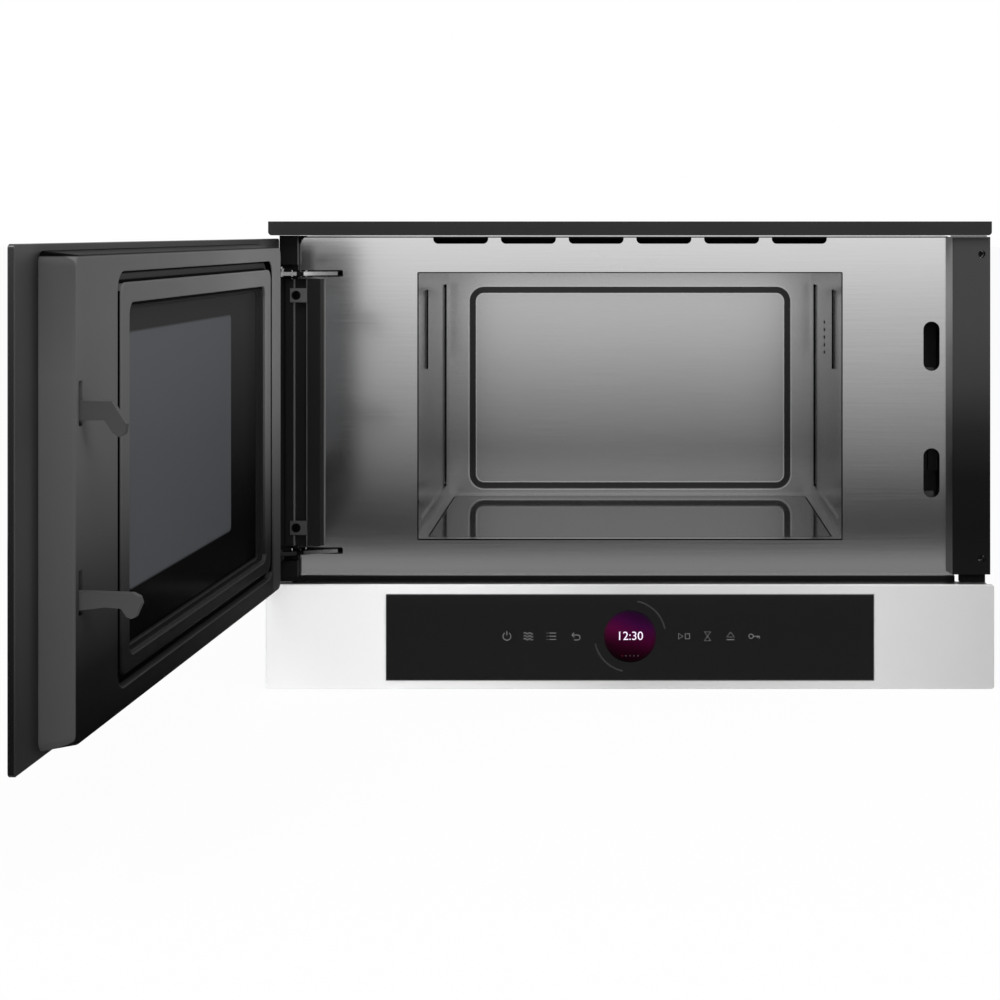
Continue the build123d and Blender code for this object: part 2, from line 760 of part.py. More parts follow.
# Door frame: hollow black moulding with drafted sides and a window for the choke
frame_skin_n = door_t - frame_wall
with BuildPart() as door_frame:
    add(frame_outline(glass_t, 0, frame_r))
    add(frame_outline(door_t, 0, frame_r))
    loft()
    inner_rim = door_frame.faces().sort_by(Axis.X)[-1].outer_wire().edges()
    fillet(inner_rim, radius=1.5)
    add(frame_outline(glass_t, frame_wall, frame_r - frame_wall))
    add(frame_outline(frame_skin_n, frame_wall, frame_r - frame_wall))
    loft(mode=Mode.SUBTRACT)
    with BuildSketch(door_face(glass_t)):
        panel(*around(choke_w, choke_z, frame_wall), r=choke_r + frame_wall)
    extrude(amount=-(frame_skin_n - glass_t + 0.5))
    with BuildSketch(door_face(glass_t - 1)):
        panel(*around(choke_w, choke_z), r=choke_r)
    extrude(amount=-(door_t + 2), mode=Mode.SUBTRACT)
    # slots that the latch hooks stand in, with room for their lift
    with BuildSketch(door_face(frame_skin_n - 1)):
        for top in hook_top:
            panel(
                (hook_x - hook_t / 2 - 0.8, hook_x + hook_t / 2 + 0.8),
                (top - 13.8, top + latch_lift + 6),
                1.2,
            )
    extrude(amount=-(frame_wall + 2), mode=Mode.SUBTRACT)
    # guides for the latch bar and the seat of its spring
    guide_x = (hook_x - hook_t / 2 - 2.3, hook_x + hook_t / 2 + 2.3)
    for z in (bar_z[0] + 20, bar_z[1] - 50):
        with BuildSketch(door_face(glass_t)):
            panel((guide_x[0], hook_x - hook_t / 2 - seat_gap), (z, z + 12))
            panel((hook_x + hook_t / 2 + seat_gap, guide_x[1]), (z, z + 12))
        extrude(amount=-(frame_skin_n - glass_t + 0.5))
    spring_top = bar_z[1] + spring_l + 0.4
    with BuildSketch(door_face(glass_t)):
        panel(guide_x, (spring_top, spring_top + 3))
        panel(guide_x, (bar_z[0] - 3.4, bar_z[0] - 0.4))
    extrude(amount=-(frame_skin_n - glass_t + 0.5))
    # pockets for the hinge leaves
    for z in arm_z:
        with BuildSketch(door_face(glass_t - 0.5)):
            panel(
                (frame_x[0] - 1, leaf_x[1] + 0.4),
                (z - leaf_h / 2 - 0.4, z + leaf_h / 2 + 0.4),
            )
        extrude(amount=-(leaf_t + 0.8), mode=Mode.SUBTRACT)
save(door_frame, "door_frame")

# Choke frame: folded steel channel with a comb of slots that keeps the microwaves in
choke_side = choke_w / 2 - seat_gap
with BuildPart() as choke_frame:
    choke_low = choke_z[0] + seat_gap
    choke_high = choke_z[1] - seat_gap
    with BuildSketch(door_face(glass_t)):
        panel((-choke_side, choke_side), (choke_low, choke_high), choke_r - seat_gap)
        panel(*around(window_w - 2 * window_step, (window_z[0] + 6, window_z[1] - 6)), mode=Mode.SUBTRACT)
    extrude(amount=-choke_wall)
    comb_top = door_t - groove_depth - 2.0
    with BuildSketch(door_face(glass_t)):
        panel((-choke_side, choke_side), (choke_low, choke_high), choke_r - seat_gap)
        panel(
            (-choke_side + choke_wall, choke_side - choke_wall),
            (choke_low + choke_wall, choke_high - choke_wall),
            choke_r - seat_gap - choke_wall,
            mode=Mode.SUBTRACT,
        )
    extrude(amount=-(comb_top - glass_t))
    screen_n = pane_n - pane_t - screen_t
    with BuildSketch(door_face(glass_t)):
        panel(*around(window_w + 4, (window_z[0] + 2, window_z[1] - 2)), r=window_r)
        panel(*around(window_w + 2, (window_z[0] + 3, window_z[1] - 3)), r=window_r - 1, mode=Mode.SUBTRACT)
    extrude(amount=-(screen_n - glass_t))
    # the comb's slots, on all four sides
    comb_pitch = 14.0
    comb_gap = 3.0
    with BuildSketch(door_face(comb_top - 6)):
        with Locations((0, middle(choke_z))):
            with GridLocations(comb_pitch, choke_high - choke_low, 24, 2):
                Rectangle(comb_gap, 4)
            with GridLocations(2 * choke_side, comb_pitch, 2, 15):
                Rectangle(4, comb_gap)
    extrude(amount=-7, mode=Mode.SUBTRACT)
save(choke_frame, "choke_frame")

# Window screen: perforated steel sheet behind the inner pane
with BuildPart() as window_screen:
    with BuildSketch(door_face(screen_n)):
        panel(*around(window_w + 8, window_z), r=window_r)
    extrude(amount=-screen_t)
save(window_screen, "window_screen")

with BuildPart() as inner_pane:
    with BuildSketch(door_face(pane_n - pane_t)):
        panel(*around(window_w - 2 * window_step, window_z, pane_border - window_step), r=window_r)
    extrude(amount=-pane_t)
save(inner_pane, "inner_pane")

# Choke cover: moulded ring inside the groove, with a stepped edge down to the pane
ring_x = choke_w / 2 - groove_w
with BuildPart() as choke_cover:
    with BuildSketch(door_face(pane_n)):
        panel((-ring_x, ring_x), (choke_z[0] + groove_w, choke_z[1] - groove_w), choke_r - 4)
    extrude(amount=-(door_t - pane_n))
    fillet(choke_cover.faces().sort_by(Axis.X)[-1].outer_wire().edges(), radius=1.2)
    with BuildSketch(door_face(door_t - groove_depth - 1.6)):
        panel((-choke_side, choke_side), (choke_low, choke_high), choke_r - seat_gap)
    extrude(amount=-1.6)
    with BuildSketch(door_face(pane_n - 1)):
        panel(
            *around(window_w - 2 * window_step, (window_z[0] + window_step, window_z[1] - window_step + 1)),
            r=window_r - 2,
        )
    extrude(amount=-(door_t - pane_n + 2), mode=Mode.SUBTRACT)
    with BuildSketch(door_face(door_t - window_step_depth)):
        panel(*around(window_w, window_z), r=window_r)
    extrude(amount=-(window_step_depth + 1), mode=Mode.SUBTRACT)
save(choke_cover, "choke_cover")

# Hinge leaves: steel brackets bonded and screwed to the frame, each with a lug on its pin
with BuildPart() as hinge_leaves:
    for z, up in zip(arm_z, (1, -1)):
        lug_z = z + up * (arm_t / 2 + seat_gap)
        lug_low = min(lug_z, lug_z + up * lug_t)
        with BuildSketch(door_level(lug_low)):
            panel((hinge_x, leaf_x[0] + 6), (hinge_y - eye_r + 0.2, hinge_y + 1.6))
            with Locations((hinge_x, hinge_y)):
                Circle(eye_r)
                Circle(pin_r + pin_clearance, mode=Mode.SUBTRACT)
        extrude(amount=lug_t)
        with BuildSketch(door_face(glass_t + 0.1)):
            panel(leaf_x, (z - leaf_h / 2, z + leaf_h / 2), 2)
        extrude(amount=-leaf_t)
save(hinge_leaves, "hinge_leaves")

# Latch bar: one moulding with both hooks; it slides up in the frame against its spring
reach_y = door_t - front_stand


def hook_outline(upper):
    """Profile of a hook, from inside the frame to its tip: (reach past the inner face, below the top)."""
    if upper:
        return [
            (-9.0, 0.0),
            (18.0, 0.0),
            (26.2, -12.5),
            (25.6, -17.4),
            (22.2, -19.6),
            (18.6, -17.2),
            (14.0, -10.4),
            (-9.0, -10.7),
        ]
    return [
        (-9.0, 0.0),
        (29.5, -1.0),
        (33.6, -3.0),
        (34.7, -6.6),
        (31.4, -14.0),
        (28.8, -15.0),
        (26.2, -13.8),
        (23.2, -9.4),
        (14.0, -8.8),
        (-9.0, -11.9),
    ]


with BuildPart() as latch_bar:
    with BuildSketch(door_section(hook_x - hook_t / 2)):
        for upper, top in zip((True, False), hook_top):
            with BuildLine():
                Polyline(*[(reach_y + a, top + b) for a, b in hook_outline(upper)], close=True)
            make_face()
        panel((bar_n[0] - front_stand, bar_n[1] - front_stand), bar_z)
    extrude(amount=hook_t)
save(latch_bar, "latch_bar")

# Latch spring, above the bar
with BuildPart() as latch_spring:
    spring_at = opened(hook_x, middle(bar_n) - front_stand, bar_z[1] + 0.2 + spring_wire_r)
    coil_l = spring_l - 2 * spring_wire_r - 0.2
    with BuildLine(Plane(origin=spring_at)) as coil:
        Helix(coil_l / spring_turns, coil_l, spring_r)
    with BuildSketch(Plane(origin=coil.line @ 0, z_dir=coil.line % 0)):
        RegularPolygon(spring_wire_r, 6)
    sweep(is_frenet=True)
save(latch_spring, "latch_spring")

# Interlock: housing behind the latch slots, with the sliding catch that holds the hooks
interlock_y = (plate_back, plate_back + interlock_d)
catch_x = (hook_x - 4.2, hook_x + 4.2)
catch_y = (interlock_y[1] - interlock_wall - 5.0, interlock_y[1] - interlock_wall - seat_gap)
ledge_y = (reach_y + 8.0, reach_y + 13.0)
catch_top = (hook_top[0] - 20.8, hook_top[1] - 19.4)
with BuildPart() as interlock_housing:
    block(interlock_x, interlock_y, interlock_z)
    block(
        (interlock_x[0] + interlock_wall, interlock_x[1] - interlock_wall),
        (interlock_y[0] - 1, interlock_y[1] - interlock_wall),
        (interlock_z[0] + interlock_wall, interlock_z[1] - interlock_wall),
        mode=Mode.SUBTRACT,
    )
    rib_y = (catch_y[0] - 4, interlock_y[1] - interlock_wall)
    rib_z = (catch_top[1] + catch_lift + 4, catch_top[0] - 13)
    block((interlock_x[0] + interlock_wall, catch_x[0] - seat_gap), rib_y, rib_z)
    block((catch_x[1] + seat_gap, interlock_x[1] - interlock_wall), rib_y, rib_z)
save(interlock_housing, "interlock_housing")

with BuildPart() as door_catch:
    catch_foot = catch_top[1] - 9
    block(catch_x, catch_y, (catch_foot, catch_top[0] - 3))
    for top in catch_top:
        block(catch_x, (ledge_y[0], catch_y[0] + 1), (top - 9.0, top - 4.5))
        block(catch_x, ledge_y, (top - 5.0, top))
save(door_catch, "door_catch")

with BuildPart() as catch_motor:
    motor_z = (interlock_z[0] - 34, interlock_z[0])
    block((interlock_x[0] + 1, interlock_x[1] - 1), (plate_back + 8, plate_back + 40), motor_z)
    with Locations((interlock_x[0] - 2, plate_back + 24, middle(motor_z))):
        Cylinder(11, 8, rotation=(0, 90, 0))
save(catch_motor, "catch_motor")

with BuildPart() as microswitches:
    for z in (168.0, 214.0, 286.0):
        block((interlock_x[0] - 11, interlock_x[0]), (plate_back + 12, plate_back + 40), (z, z + 16))
        block((interlock_x[0] - 8, interlock_x[0] - 3), (plate_back + 40, plate_back + 48), (z + 3, z + 5))
        block((interlock_x[0] - 8, interlock_x[0] - 3), (plate_back + 40, plate_back + 48), (z + 11, z + 13))
save(microswitches, "microswitches")

# Waveguide under the cavity, from the magnetron to the stirrer well
waveguide_z = (well_z - sheet - waveguide_h, well_z - sheet)
with BuildPart() as waveguide:
    block(waveguide_x, waveguide_y, waveguide_z)
    block(
        (waveguide_x[0] + sheet, waveguide_x[1] - sheet),
        (waveguide_y[0] + sheet, waveguide_y[1] - sheet),
        (waveguide_z[0] + sheet, waveguide_z[1] - sheet),
        mode=Mode.SUBTRACT,
    )
    with Locations((0, stirrer_y, waveguide_z[1])):
        Cylinder(stirrer_bush_r + 12, 4 * sheet, mode=Mode.SUBTRACT)
    with Locations((middle(magnetron_x), middle(magnetron_y), waveguide_z[1])):
        Cylinder(antenna_r + 6, 4 * sheet, mode=Mode.SUBTRACT)
    with Locations((0, stirrer_y, waveguide_z[0])):
        Cylinder(stirrer_bush_r, 4 * sheet, mode=Mode.SUBTRACT)
save(waveguide, "waveguide")

# Stirrer: rotating antenna in the well, on a ceramic shaft through the waveguide
motor_top = waveguide_z[0]
shaft_top = well_z + 7
with BuildPart() as stirrer:
    with BuildSketch(Plane.XY.offset(shaft_top - stirrer_t)):
        with Locations((0, stirrer_y)):
            SlotOverall(stirrer_blade_l, stirrer_blade_w)
            with GridLocations(96, 1, 2, 1):
                SlotOverall(28, 10, rotation=90, mode=Mode.SUBTRACT)
    extrude(amount=stirrer_t)
    with Locations((0, stirrer_y, motor_top - 6)):
        Cylinder(
            stirrer_shaft_r,
            shaft_top - motor_top + 6,
            align=(Align.CENTER, Align.CENTER, Align.MIN),
        )
save(stirrer, "stirrer")

with BuildPart() as stirrer_bush:
    with Locations((0, stirrer_y, well_z - sheet)):
        Cylinder(stirrer_bush_r, 3, align=(Align.CENTER, Align.CENTER, Align.MIN))
    with Locations((0, stirrer_y, well_z)):
        Cylinder(stirrer_bush_r + 3, 2, align=(Align.CENTER, Align.CENTER, Align.MIN))
    with Locations((0, stirrer_y, well_z)):
        Cylinder(stirrer_shaft_r + 0.08, 20, mode=Mode.SUBTRACT)
save(stirrer_bush, "stirrer_bush")

with BuildPart() as stirrer_motor:
    with Locations((0, stirrer_y, motor_top - 22)):
        Cylinder(25, 22, align=(Align.CENTER, Align.CENTER, Align.MIN))
    with Locations((0, stirrer_y, motor_top - 3)):
        Box(70, 16, 1.5, align=(Align.CENTER, Align.CENTER, Align.MIN))
    with Locations((0, stirrer_y, motor_top - 8)):
        Cylinder(stirrer_shaft_r + 0.08, 20, align=(Align.CENTER, Align.CENTER, Align.MIN), mode=Mode.SUBTRACT)
save(stirrer_motor, "stirrer_motor")

# Magnetron: finned body in a steel yoke, with its antenna down into the waveguide
magnetron_seat = waveguide_z[1]
fin_count = 9
with BuildPart() as magnetron:
    block(magnetron_x, magnetron_y, (magnetron_z[0], magnetron_z[0] + 3))
    block(magnetron_x, magnetron_y, (magnetron_z[1] - 3, magnetron_z[1]))
    for x in (magnetron_x[0], magnetron_x[1] - 2):
        block((x, x + 2), magnetron_y, magnetron_z)
    with Locations((middle(magnetron_x), middle(magnetron_y), magnetron_z[0])):
        Cylinder(19, magnetron_z[1] - magnetron_z[0], align=(Align.CENTER, Align.CENTER, Align.MIN))
    for k in range(fin_count):
        fin_z = magnetron_z[0] + 8 + k * 8.5
        block((magnetron_x[0] + 1, magnetron_x[1] - 1), (magnetron_y[0] + 6, magnetron_y[1] - 6), (fin_z, fin_z + 0.8))
    with Locations((middle(magnetron_x), middle(magnetron_y), magnetron_seat - 24)):
        Cylinder(antenna_r, magnetron_z[0] - magnetron_seat + 25, align=(Align.CENTER, Align.CENTER, Align.MIN))
    with Locations((middle(magnetron_x), middle(magnetron_y), magnetron_seat)):
        Cylinder(21, magnetron_z[0] - magnetron_seat + 1, align=(Align.CENTER, Align.CENTER, Align.MIN))
    block(
        (magnetron_x[0] + 10, magnetron_x[1] - 10),
        (magnetron_y[0] + 10, magnetron_y[1] - 10),
        (magnetron_z[1], magnetron_z[1] + 22),
    )
save(magnetron, "magnetron")

# Cooling fan: frame, motor in its hub, and impeller
fan_box_z = (fan_z - fan_size / 2, fan_z + fan_size / 2)
with BuildPart() as fan_frame:
    with BuildSketch(front(fan_y)):
        with Locations((fan_x, fan_z)):
            RectangleRounded(fan_size, fan_size, 6)
            Circle(fan_bore_r, mode=Mode.SUBTRACT)
            with GridLocations(71.5, 71.5, 2, 2):
                Circle(2.2, mode=Mode.SUBTRACT)
    extrude(amount=-fan_t)
    with BuildSketch(front(fan_y + fan_t - 3)):
        with Locations((fan_x, fan_z)):
            Circle(fan_hub_r)
            with PolarLocations(fan_hub_r + (fan_bore_r - fan_hub_r) / 2, 4, start_angle=45):
                Rectangle(fan_bore_r - fan_hub_r + 4, 4)
    extrude(amount=-3)
    with BuildSketch(front(fan_y + fan_t - 14)):
        with Locations((fan_x, fan_z)):
            Circle(2.0)
    extrude(amount=-12)
save(fan_frame, "fan_frame")

with BuildPart() as fan_impeller:
    hub_y = (fan_y + 3, fan_y + fan_t - 5)
    with BuildSketch(front(hub_y[0])):
        with Locations((fan_x, fan_z)):
            Circle(fan_hub_r)
    extrude(amount=-(hub_y[1] - hub_y[0]))
    for k in range(fan_blades):
        turn = 360.0 / fan_blades * k
        direction = Vector(cos(radians(turn)), 0, sin(radians(turn)))
        root = Vector(fan_x, middle(hub_y), fan_z) + direction * (fan_hub_r - 1)
        with BuildSketch(Plane(origin=root, x_dir=(0, 1, 0), z_dir=direction)):
            Rectangle(13, 1.4, rotation=38)
        extrude(amount=fan_blade_r - fan_hub_r + 1)
    with BuildSketch(front(hub_y[1] + 1)):
        with Locations((fan_x, fan_z)):
            Circle(2.08)
    extrude(amount=hub_y[1] + 1 - (fan_y + fan_t - 14.2), mode=Mode.SUBTRACT)
save(fan_impeller, "fan_impeller")

# Air guide from the fan to the magnetron
with BuildPart() as air_guide:
    guide_y = (magnetron_y[1] + seat_gap, fan_y)
    guide_half = fan_size / 2
    guide_wall = 1.6
    block((fan_x - guide_half, fan_x + guide_half), guide_y, fan_box_z)
    block(
        (fan_x - guide_half + guide_wall, fan_x + guide_half - guide_wall),
        (guide_y[0] - 1, guide_y[1] + 1),
        (fan_box_z[0] + guide_wall, fan_box_z[1] - guide_wall),
        mode=Mode.SUBTRACT,
    )
save(air_guide, "air_guide")

# Power supply board with its transformer and heat sink
with BuildPart() as inverter_board:
    for x in (-226.0, -84.0):
        for y in (134.0, 266.0):
            with Locations((x, y, sheet)):
                Cylinder(3, 8, align=(Align.CENTER, Align.CENTER, Align.MIN))
    block((-232, -78), (128, 272), (9, 10.6))
save(inverter_board, "inverter_board")

with BuildPart() as inverter_transformer:
    block((-150, -94), (150, 206), (10.6, 52))
    with Locations((-122, 178, 10.6)):
        Cylinder(32, 30, align=(Align.CENTER, Align.CENTER, Align.MIN))
save(inverter_transformer, "inverter_transformer")

with BuildPart() as heat_sink:
    block((-220, -212), (140, 262), (10.6, 48))
    for k in range(7):
        fin_y = 142 + k * 19
        block((-212, -186), (fin_y, fin_y + 2), (14, 48))
save(heat_sink, "heat_sink")

with BuildPart() as mains_filter:
    block((-232, -176), (276, 294), (sheet, 34))
save(mains_filter, "mains_filter")

# Mains inlet: the gland in the rear panel that a lead would come out of
with BuildPart() as cable_gland:
    with Locations(Location((inlet_x, body_d, inlet_z), (90, 0, 0))):
        Cylinder(inlet_r - 0.2, 4, align=(Align.CENTER, Align.CENTER, Align.MIN))
    with Locations(Location((inlet_x, body_d - sheet - seat_gap, inlet_z), (90, 0, 0))):
        Cylinder(inlet_r + 3, 3, align=(Align.CENTER, Align.CENTER, Align.MIN))
save(cable_gland, "cable_gland")

# Lamp behind the light slots, and the two thermal cut-outs
with BuildPart() as cavity_lamp:
    lamp_x = cavity_w / 2 + sheet
    block(
        (lamp_x + 0.1, lamp_x + 16),
        (light_slot_y - 14, light_slot_y + 14),
        (light_slot_z - 20, light_slot_z + 20),
    )
save(cavity_lamp, "cavity_lamp")

with BuildPart() as thermal_cutouts:
    for spot in ((-60, 150), (110, 150)):
        with Locations((spot[0], spot[1], cavity_top + sheet)):
            Cylinder(9, 7, align=(Align.CENTER, Align.CENTER, Align.MIN))
            Box(32, 10, 1, align=(Align.CENTER, Align.CENTER, Align.MIN))
save(thermal_cutouts, "thermal_cutouts")
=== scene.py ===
import json
from math import cos, pi, radians, sin

import bmesh
import bpy
from mathutils import Matrix, Vector


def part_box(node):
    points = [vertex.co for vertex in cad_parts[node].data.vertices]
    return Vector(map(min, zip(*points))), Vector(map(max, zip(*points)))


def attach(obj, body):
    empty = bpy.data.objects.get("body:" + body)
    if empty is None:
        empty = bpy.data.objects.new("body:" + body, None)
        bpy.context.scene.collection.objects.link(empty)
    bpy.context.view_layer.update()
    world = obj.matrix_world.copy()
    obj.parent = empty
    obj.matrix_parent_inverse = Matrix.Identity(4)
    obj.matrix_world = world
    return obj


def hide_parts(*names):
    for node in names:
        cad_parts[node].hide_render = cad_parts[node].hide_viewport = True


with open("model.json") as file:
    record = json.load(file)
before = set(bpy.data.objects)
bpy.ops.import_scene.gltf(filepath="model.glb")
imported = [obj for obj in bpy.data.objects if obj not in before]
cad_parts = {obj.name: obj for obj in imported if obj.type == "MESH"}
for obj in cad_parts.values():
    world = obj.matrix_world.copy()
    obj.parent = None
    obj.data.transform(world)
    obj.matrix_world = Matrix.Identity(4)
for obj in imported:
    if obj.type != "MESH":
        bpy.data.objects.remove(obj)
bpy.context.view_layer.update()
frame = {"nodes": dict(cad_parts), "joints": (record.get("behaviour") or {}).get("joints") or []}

# Camera: level with the top bar and square to the front, a little over one and a half metres away.
# The picture's frame is shifted off the lens axis, as a shift lens does, to hold the open door.
camera_data = bpy.data.cameras.new("camera")
camera_data.sensor_width = 36.0
camera_data.lens = 71.2
camera_data.shift_x = -0.13
camera_data.shift_y = -0.271
camera = bpy.data.objects.new("camera", camera_data)
camera.location = (0.0, -1.630, 0.3758)
camera.rotation_euler = (pi / 2, 0.0, 0.0)
bpy.context.scene.collection.objects.link(camera)
bpy.context.scene.camera = camera
bpy.context.scene.view_settings.view_transform = "Standard"


# Studio: a pale floor under an even pale sky, with one wide soft lamp above the front, a weaker one
# at the side and a faint one low on the left. A graded card on the floor shows only in gloss, as a
# flag does in a studio.
class Wire:
    """One shader output that takes part in Python sums: each operation adds its Math node."""

    def __init__(self, finish, output):
        self.finish = finish
        self.output = output

    def maths(self, operation, *values):
        return self.finish.node("ShaderNodeMath", {"operation": operation}, values)

    def __add__(self, other):
        return self.maths("ADD", self, other)

    def __sub__(self, other):
        return self.maths("SUBTRACT", self, other)

    def __rsub__(self, other):
        return self.maths("SUBTRACT", other, self)

    def __mul__(self, other):
        return self.maths("MULTIPLY", self, other)

    def __truediv__(self, other):
        return self.maths("DIVIDE", self, other)

    __radd__ = __add__
    __rmul__ = __mul__

    def size(self):
        return self.maths("ABSOLUTE", self)

    def root(self):
        return self.maths("SQRT", self)

    def sine(self):
        return self.maths("SINE", self)

    def at_least(self, other):
        return self.maths("MAXIMUM", self, other)

    def at_most(self, other):
        return self.maths("MINIMUM", self, other)


class Finish:
    """A material being made. node() adds a node: first its settings, then its inputs."""

    def __init__(self, name, **sockets):
        self.material = bpy.data.materials.new(name)
        self.material.use_nodes = True
        self.tree = self.material.node_tree
        self.shader = self.tree.nodes["Principled BSDF"]
        for socket, value in sockets.items():
            self.set(socket.replace("_", " "), value)

    def plug(self, socket, value):
        if isinstance(value, Wire):
            self.tree.links.new(value.output, socket)
        else:
            socket.default_value = value

    def set(self, socket, value):
        self.plug(self.shader.inputs[socket], value)

    def surface(self, shader):
        """Shows this shader in place of the plain one."""
        self.plug(self.tree.nodes["Material Output"].inputs["Surface"], shader)

    def node(self, kind, settings=None, inputs=(), output=0):
        made = self.tree.nodes.new(kind)
        for name, value in (settings or {}).items():
            if name == "stops":
                stops = made.color_ramp.elements
                stops[0].position = value[0][0]
                stops[-1].position = value[-1][0]
                for place, colour in value[1:-1]:
                    stops.new(place)
                for stop, (place, colour) in zip(stops, value):
                    stop.color = colour
            else:
                setattr(made, name, value)
        pairs = inputs.items() if isinstance(inputs, dict) else enumerate(inputs)
        for key, value in pairs:
            self.plug(made.inputs[key], value)
        return Wire(self, made.outputs[output])

    def mix(self, factor, first, second):
        return self.node("ShaderNodeMix", {"data_type": "RGBA"}, {0: factor, 6: first, 7: second}, 2)

    def place(self):
        return self.node("ShaderNodeTexCoord", output="Object")

    def ray(self, kind):
        """1 where the ray is of this kind."""
        return self.node("ShaderNodeLightPath", output=kind)

    def axes(self, place):
        split = self.node("ShaderNodeSeparateXYZ", inputs=[place]).output.node
        return [Wire(self, output) for output in split.outputs]

    def noise(self, place, scale, detail=2.0, roughness=0.5):
        return self.node(
            "ShaderNodeTexNoise",
            inputs={"Vector": place, "Scale": scale, "Detail": detail, "Roughness": roughness},
        )

    def stretch(self, place, scale):
        return self.node("ShaderNodeVectorMath", {"operation": "MULTIPLY"}, [place, scale])

    def ramp(self, value, low, high, start=0.0, end=1.0):
        return self.node("ShaderNodeMapRange", inputs={0: value, 1: low, 2: high, 3: start, 4: end})

    def band(self, value, low, high, soft):
        """1 between low and high, falling to 0 over the soft width outside them."""
        return self.ramp(value, low - soft, low) * self.ramp(value, high, high + soft, 1.0, 0.0)

    def outline(self, across, up, x, z, r):
        """Distance from the edge of a round-cornered rectangle: below 0 inside it."""
        side_x = (across - (x[0] + x[1]) / 2).size() - ((x[1] - x[0]) / 2 - r)
        side_z = (up - (z[0] + z[1]) / 2).size() - ((z[1] - z[0]) / 2 - r)
        out_x = side_x.at_least(0.0)
        out_z = side_z.at_least(0.0)
        return (out_x * out_x + out_z * out_z).root() + side_x.at_least(side_z).at_most(0.0) - r

    def fade(self, colour, value, low, high, levels):
        """The colour, dimmed by levels spaced evenly as the value runs from low to high."""
        stops = [(k / (len(levels) - 1), (level, level, level, 1.0)) for k, level in enumerate(levels)]
        dim = self.node("ShaderNodeValToRGB", {"stops": stops}, [self.ramp(value, low, high)])
        return self.node(
            "ShaderNodeMix", {"data_type": "RGBA", "blend_type": "MULTIPLY"}, {0: 1.0, 6: colour, 7: dim}, 2
        )

    def bump(self, height, strength, distance):
        self.set(
            "Normal",
            self.node(
                "ShaderNodeBump", inputs={"Strength": strength, "Distance": distance, "Height": height}
            ),
        )


def rgb(red, green, blue):
    """A colour as a picture shows it, 0 to 255, as the shader wants it."""
    linear = [c / 12.92 if c <= 0.04045 else ((c + 0.055) / 1.055) ** 2.4
              for c in (red / 255, green / 255, blue / 255)]
    return (*linear, 1.0)


def grey(level):
    return rgb(level, level, level)


def mesh_object(name, mesh):
    made = bpy.data.objects.new(name, mesh)
    bpy.context.scene.collection.objects.link(made)
    return made


def flat_plate(name, x, y, z):
    """A level rectangle at height z."""
    mesh = bpy.data.meshes.new(name)
    corners = [(x[0], y[0], z), (x[1], y[0], z), (x[1], y[1], z), (x[0], y[1], z)]
    mesh.from_pydata(corners, [], [(0, 1, 2, 3)])
    return mesh_object(name, mesh)


floor_half = 40.0
floor_seen = 0.95
floor_mirrored = 0.90
floor = flat_plate("floor", (-floor_half, floor_half), (-floor_half, floor_half), 0.0)
floor_paint = Finish("floor_paint", Base_Color=grey(240), Roughness=0.9)
floor_light = floor_paint.node("ShaderNodeEmission", inputs={"Color": grey(255), "Strength": 1.0})
floor_share = floor_paint.ray("Is Camera Ray") * floor_seen
floor_share = floor_share + floor_paint.ray("Is Glossy Ray") * floor_mirrored
floor_paint.surface(
    floor_paint.node(
        "ShaderNodeMixShader",
        inputs=[floor_share, Wire(floor_paint, floor_paint.shader.outputs[0]), floor_light],
    )
)
floor.data.materials.append(floor_paint.material)


class Sky(Finish):
    """The world's colour, made from nodes in the same way."""

    def __init__(self, name):
        world = bpy.data.worlds.new(name)
        world.use_nodes = True
        bpy.context.scene.world = world
        self.tree = world.node_tree
        self.shader = self.tree.nodes["Background"]


sky = Sky("sky")
sky_seen = sky.ray("Is Camera Ray").at_least(sky.ray("Is Glossy Ray"))
sky.set("Color", sky.mix(sky_seen, grey(150), grey(255)))


def soft_lamp(name, size, power, at, towards):
    data = bpy.data.lights.new(name, "AREA")
    data.shape = "RECTANGLE"
    data.size, data.size_y = size
    data.energy = power
    lamp = bpy.data.objects.new(name, data)
    lamp.location = at
    lamp.rotation_euler = (Vector(towards) - Vector(at)).to_track_quat("-Z", "Y").to_euler()
    bpy.context.scene.collection.objects.link(lamp)
    return lamp


soft_lamp("lamp_above", (2.2, 1.4), power=53.0, at=(-0.15, -1.6, 2.1), towards=(-0.05, 0.1, 0.15))
soft_lamp("lamp_side", (1.6, 1.6), power=16.0, at=(2.2, -1.6, 1.2), towards=(0.0, 0.0, 0.2))
low_lamp = soft_lamp("lamp_low", (0.5, 0.2), power=0.10, at=(-0.26, -1.45, 0.09), towards=(-0.30, 0.0, 0.03))
low_lamp.data.spread = radians(28.0)
low_lamp.visible_glossy = False

# The graded card is dark close to the appliance, then paler and paler further out.
card_x = (-9.0, 9.0)
card_y = (-30.0, -0.022)
card_start = 0.005
card_bend = 2.0
card_levels = [
    (0.0, 0.10), (0.40, 0.07), (0.50, 0.23), (0.57, 0.45), (0.71, 0.015), (1.05, 0.050),
    (1.43, 0.159), (2.69, 0.333), (6.4, 0.57), (18.0, 0.77), (60.0, 0.92),
]
card = flat_plate("floor_card", card_x, card_y, 0.001)
card_paint = Finish("card_paint")
card_reach = card_start - card_paint.axes(card_paint.place())[1]
card_stops = [(reach / (reach + card_bend), (level, level, level, 1.0)) for reach, level in card_levels]
card_colour = card_paint.node(
    "ShaderNodeValToRGB", {"stops": card_stops}, [card_reach / (card_reach + card_bend)]
)
card_paint.surface(card_paint.node("ShaderNodeEmission", inputs={"Color": card_colour, "Strength": 1.0}))
card.data.materials.append(card_paint.material)
card.visible_camera = False
card.visible_diffuse = False
card.visible_shadow = False
card.visible_transmission = False


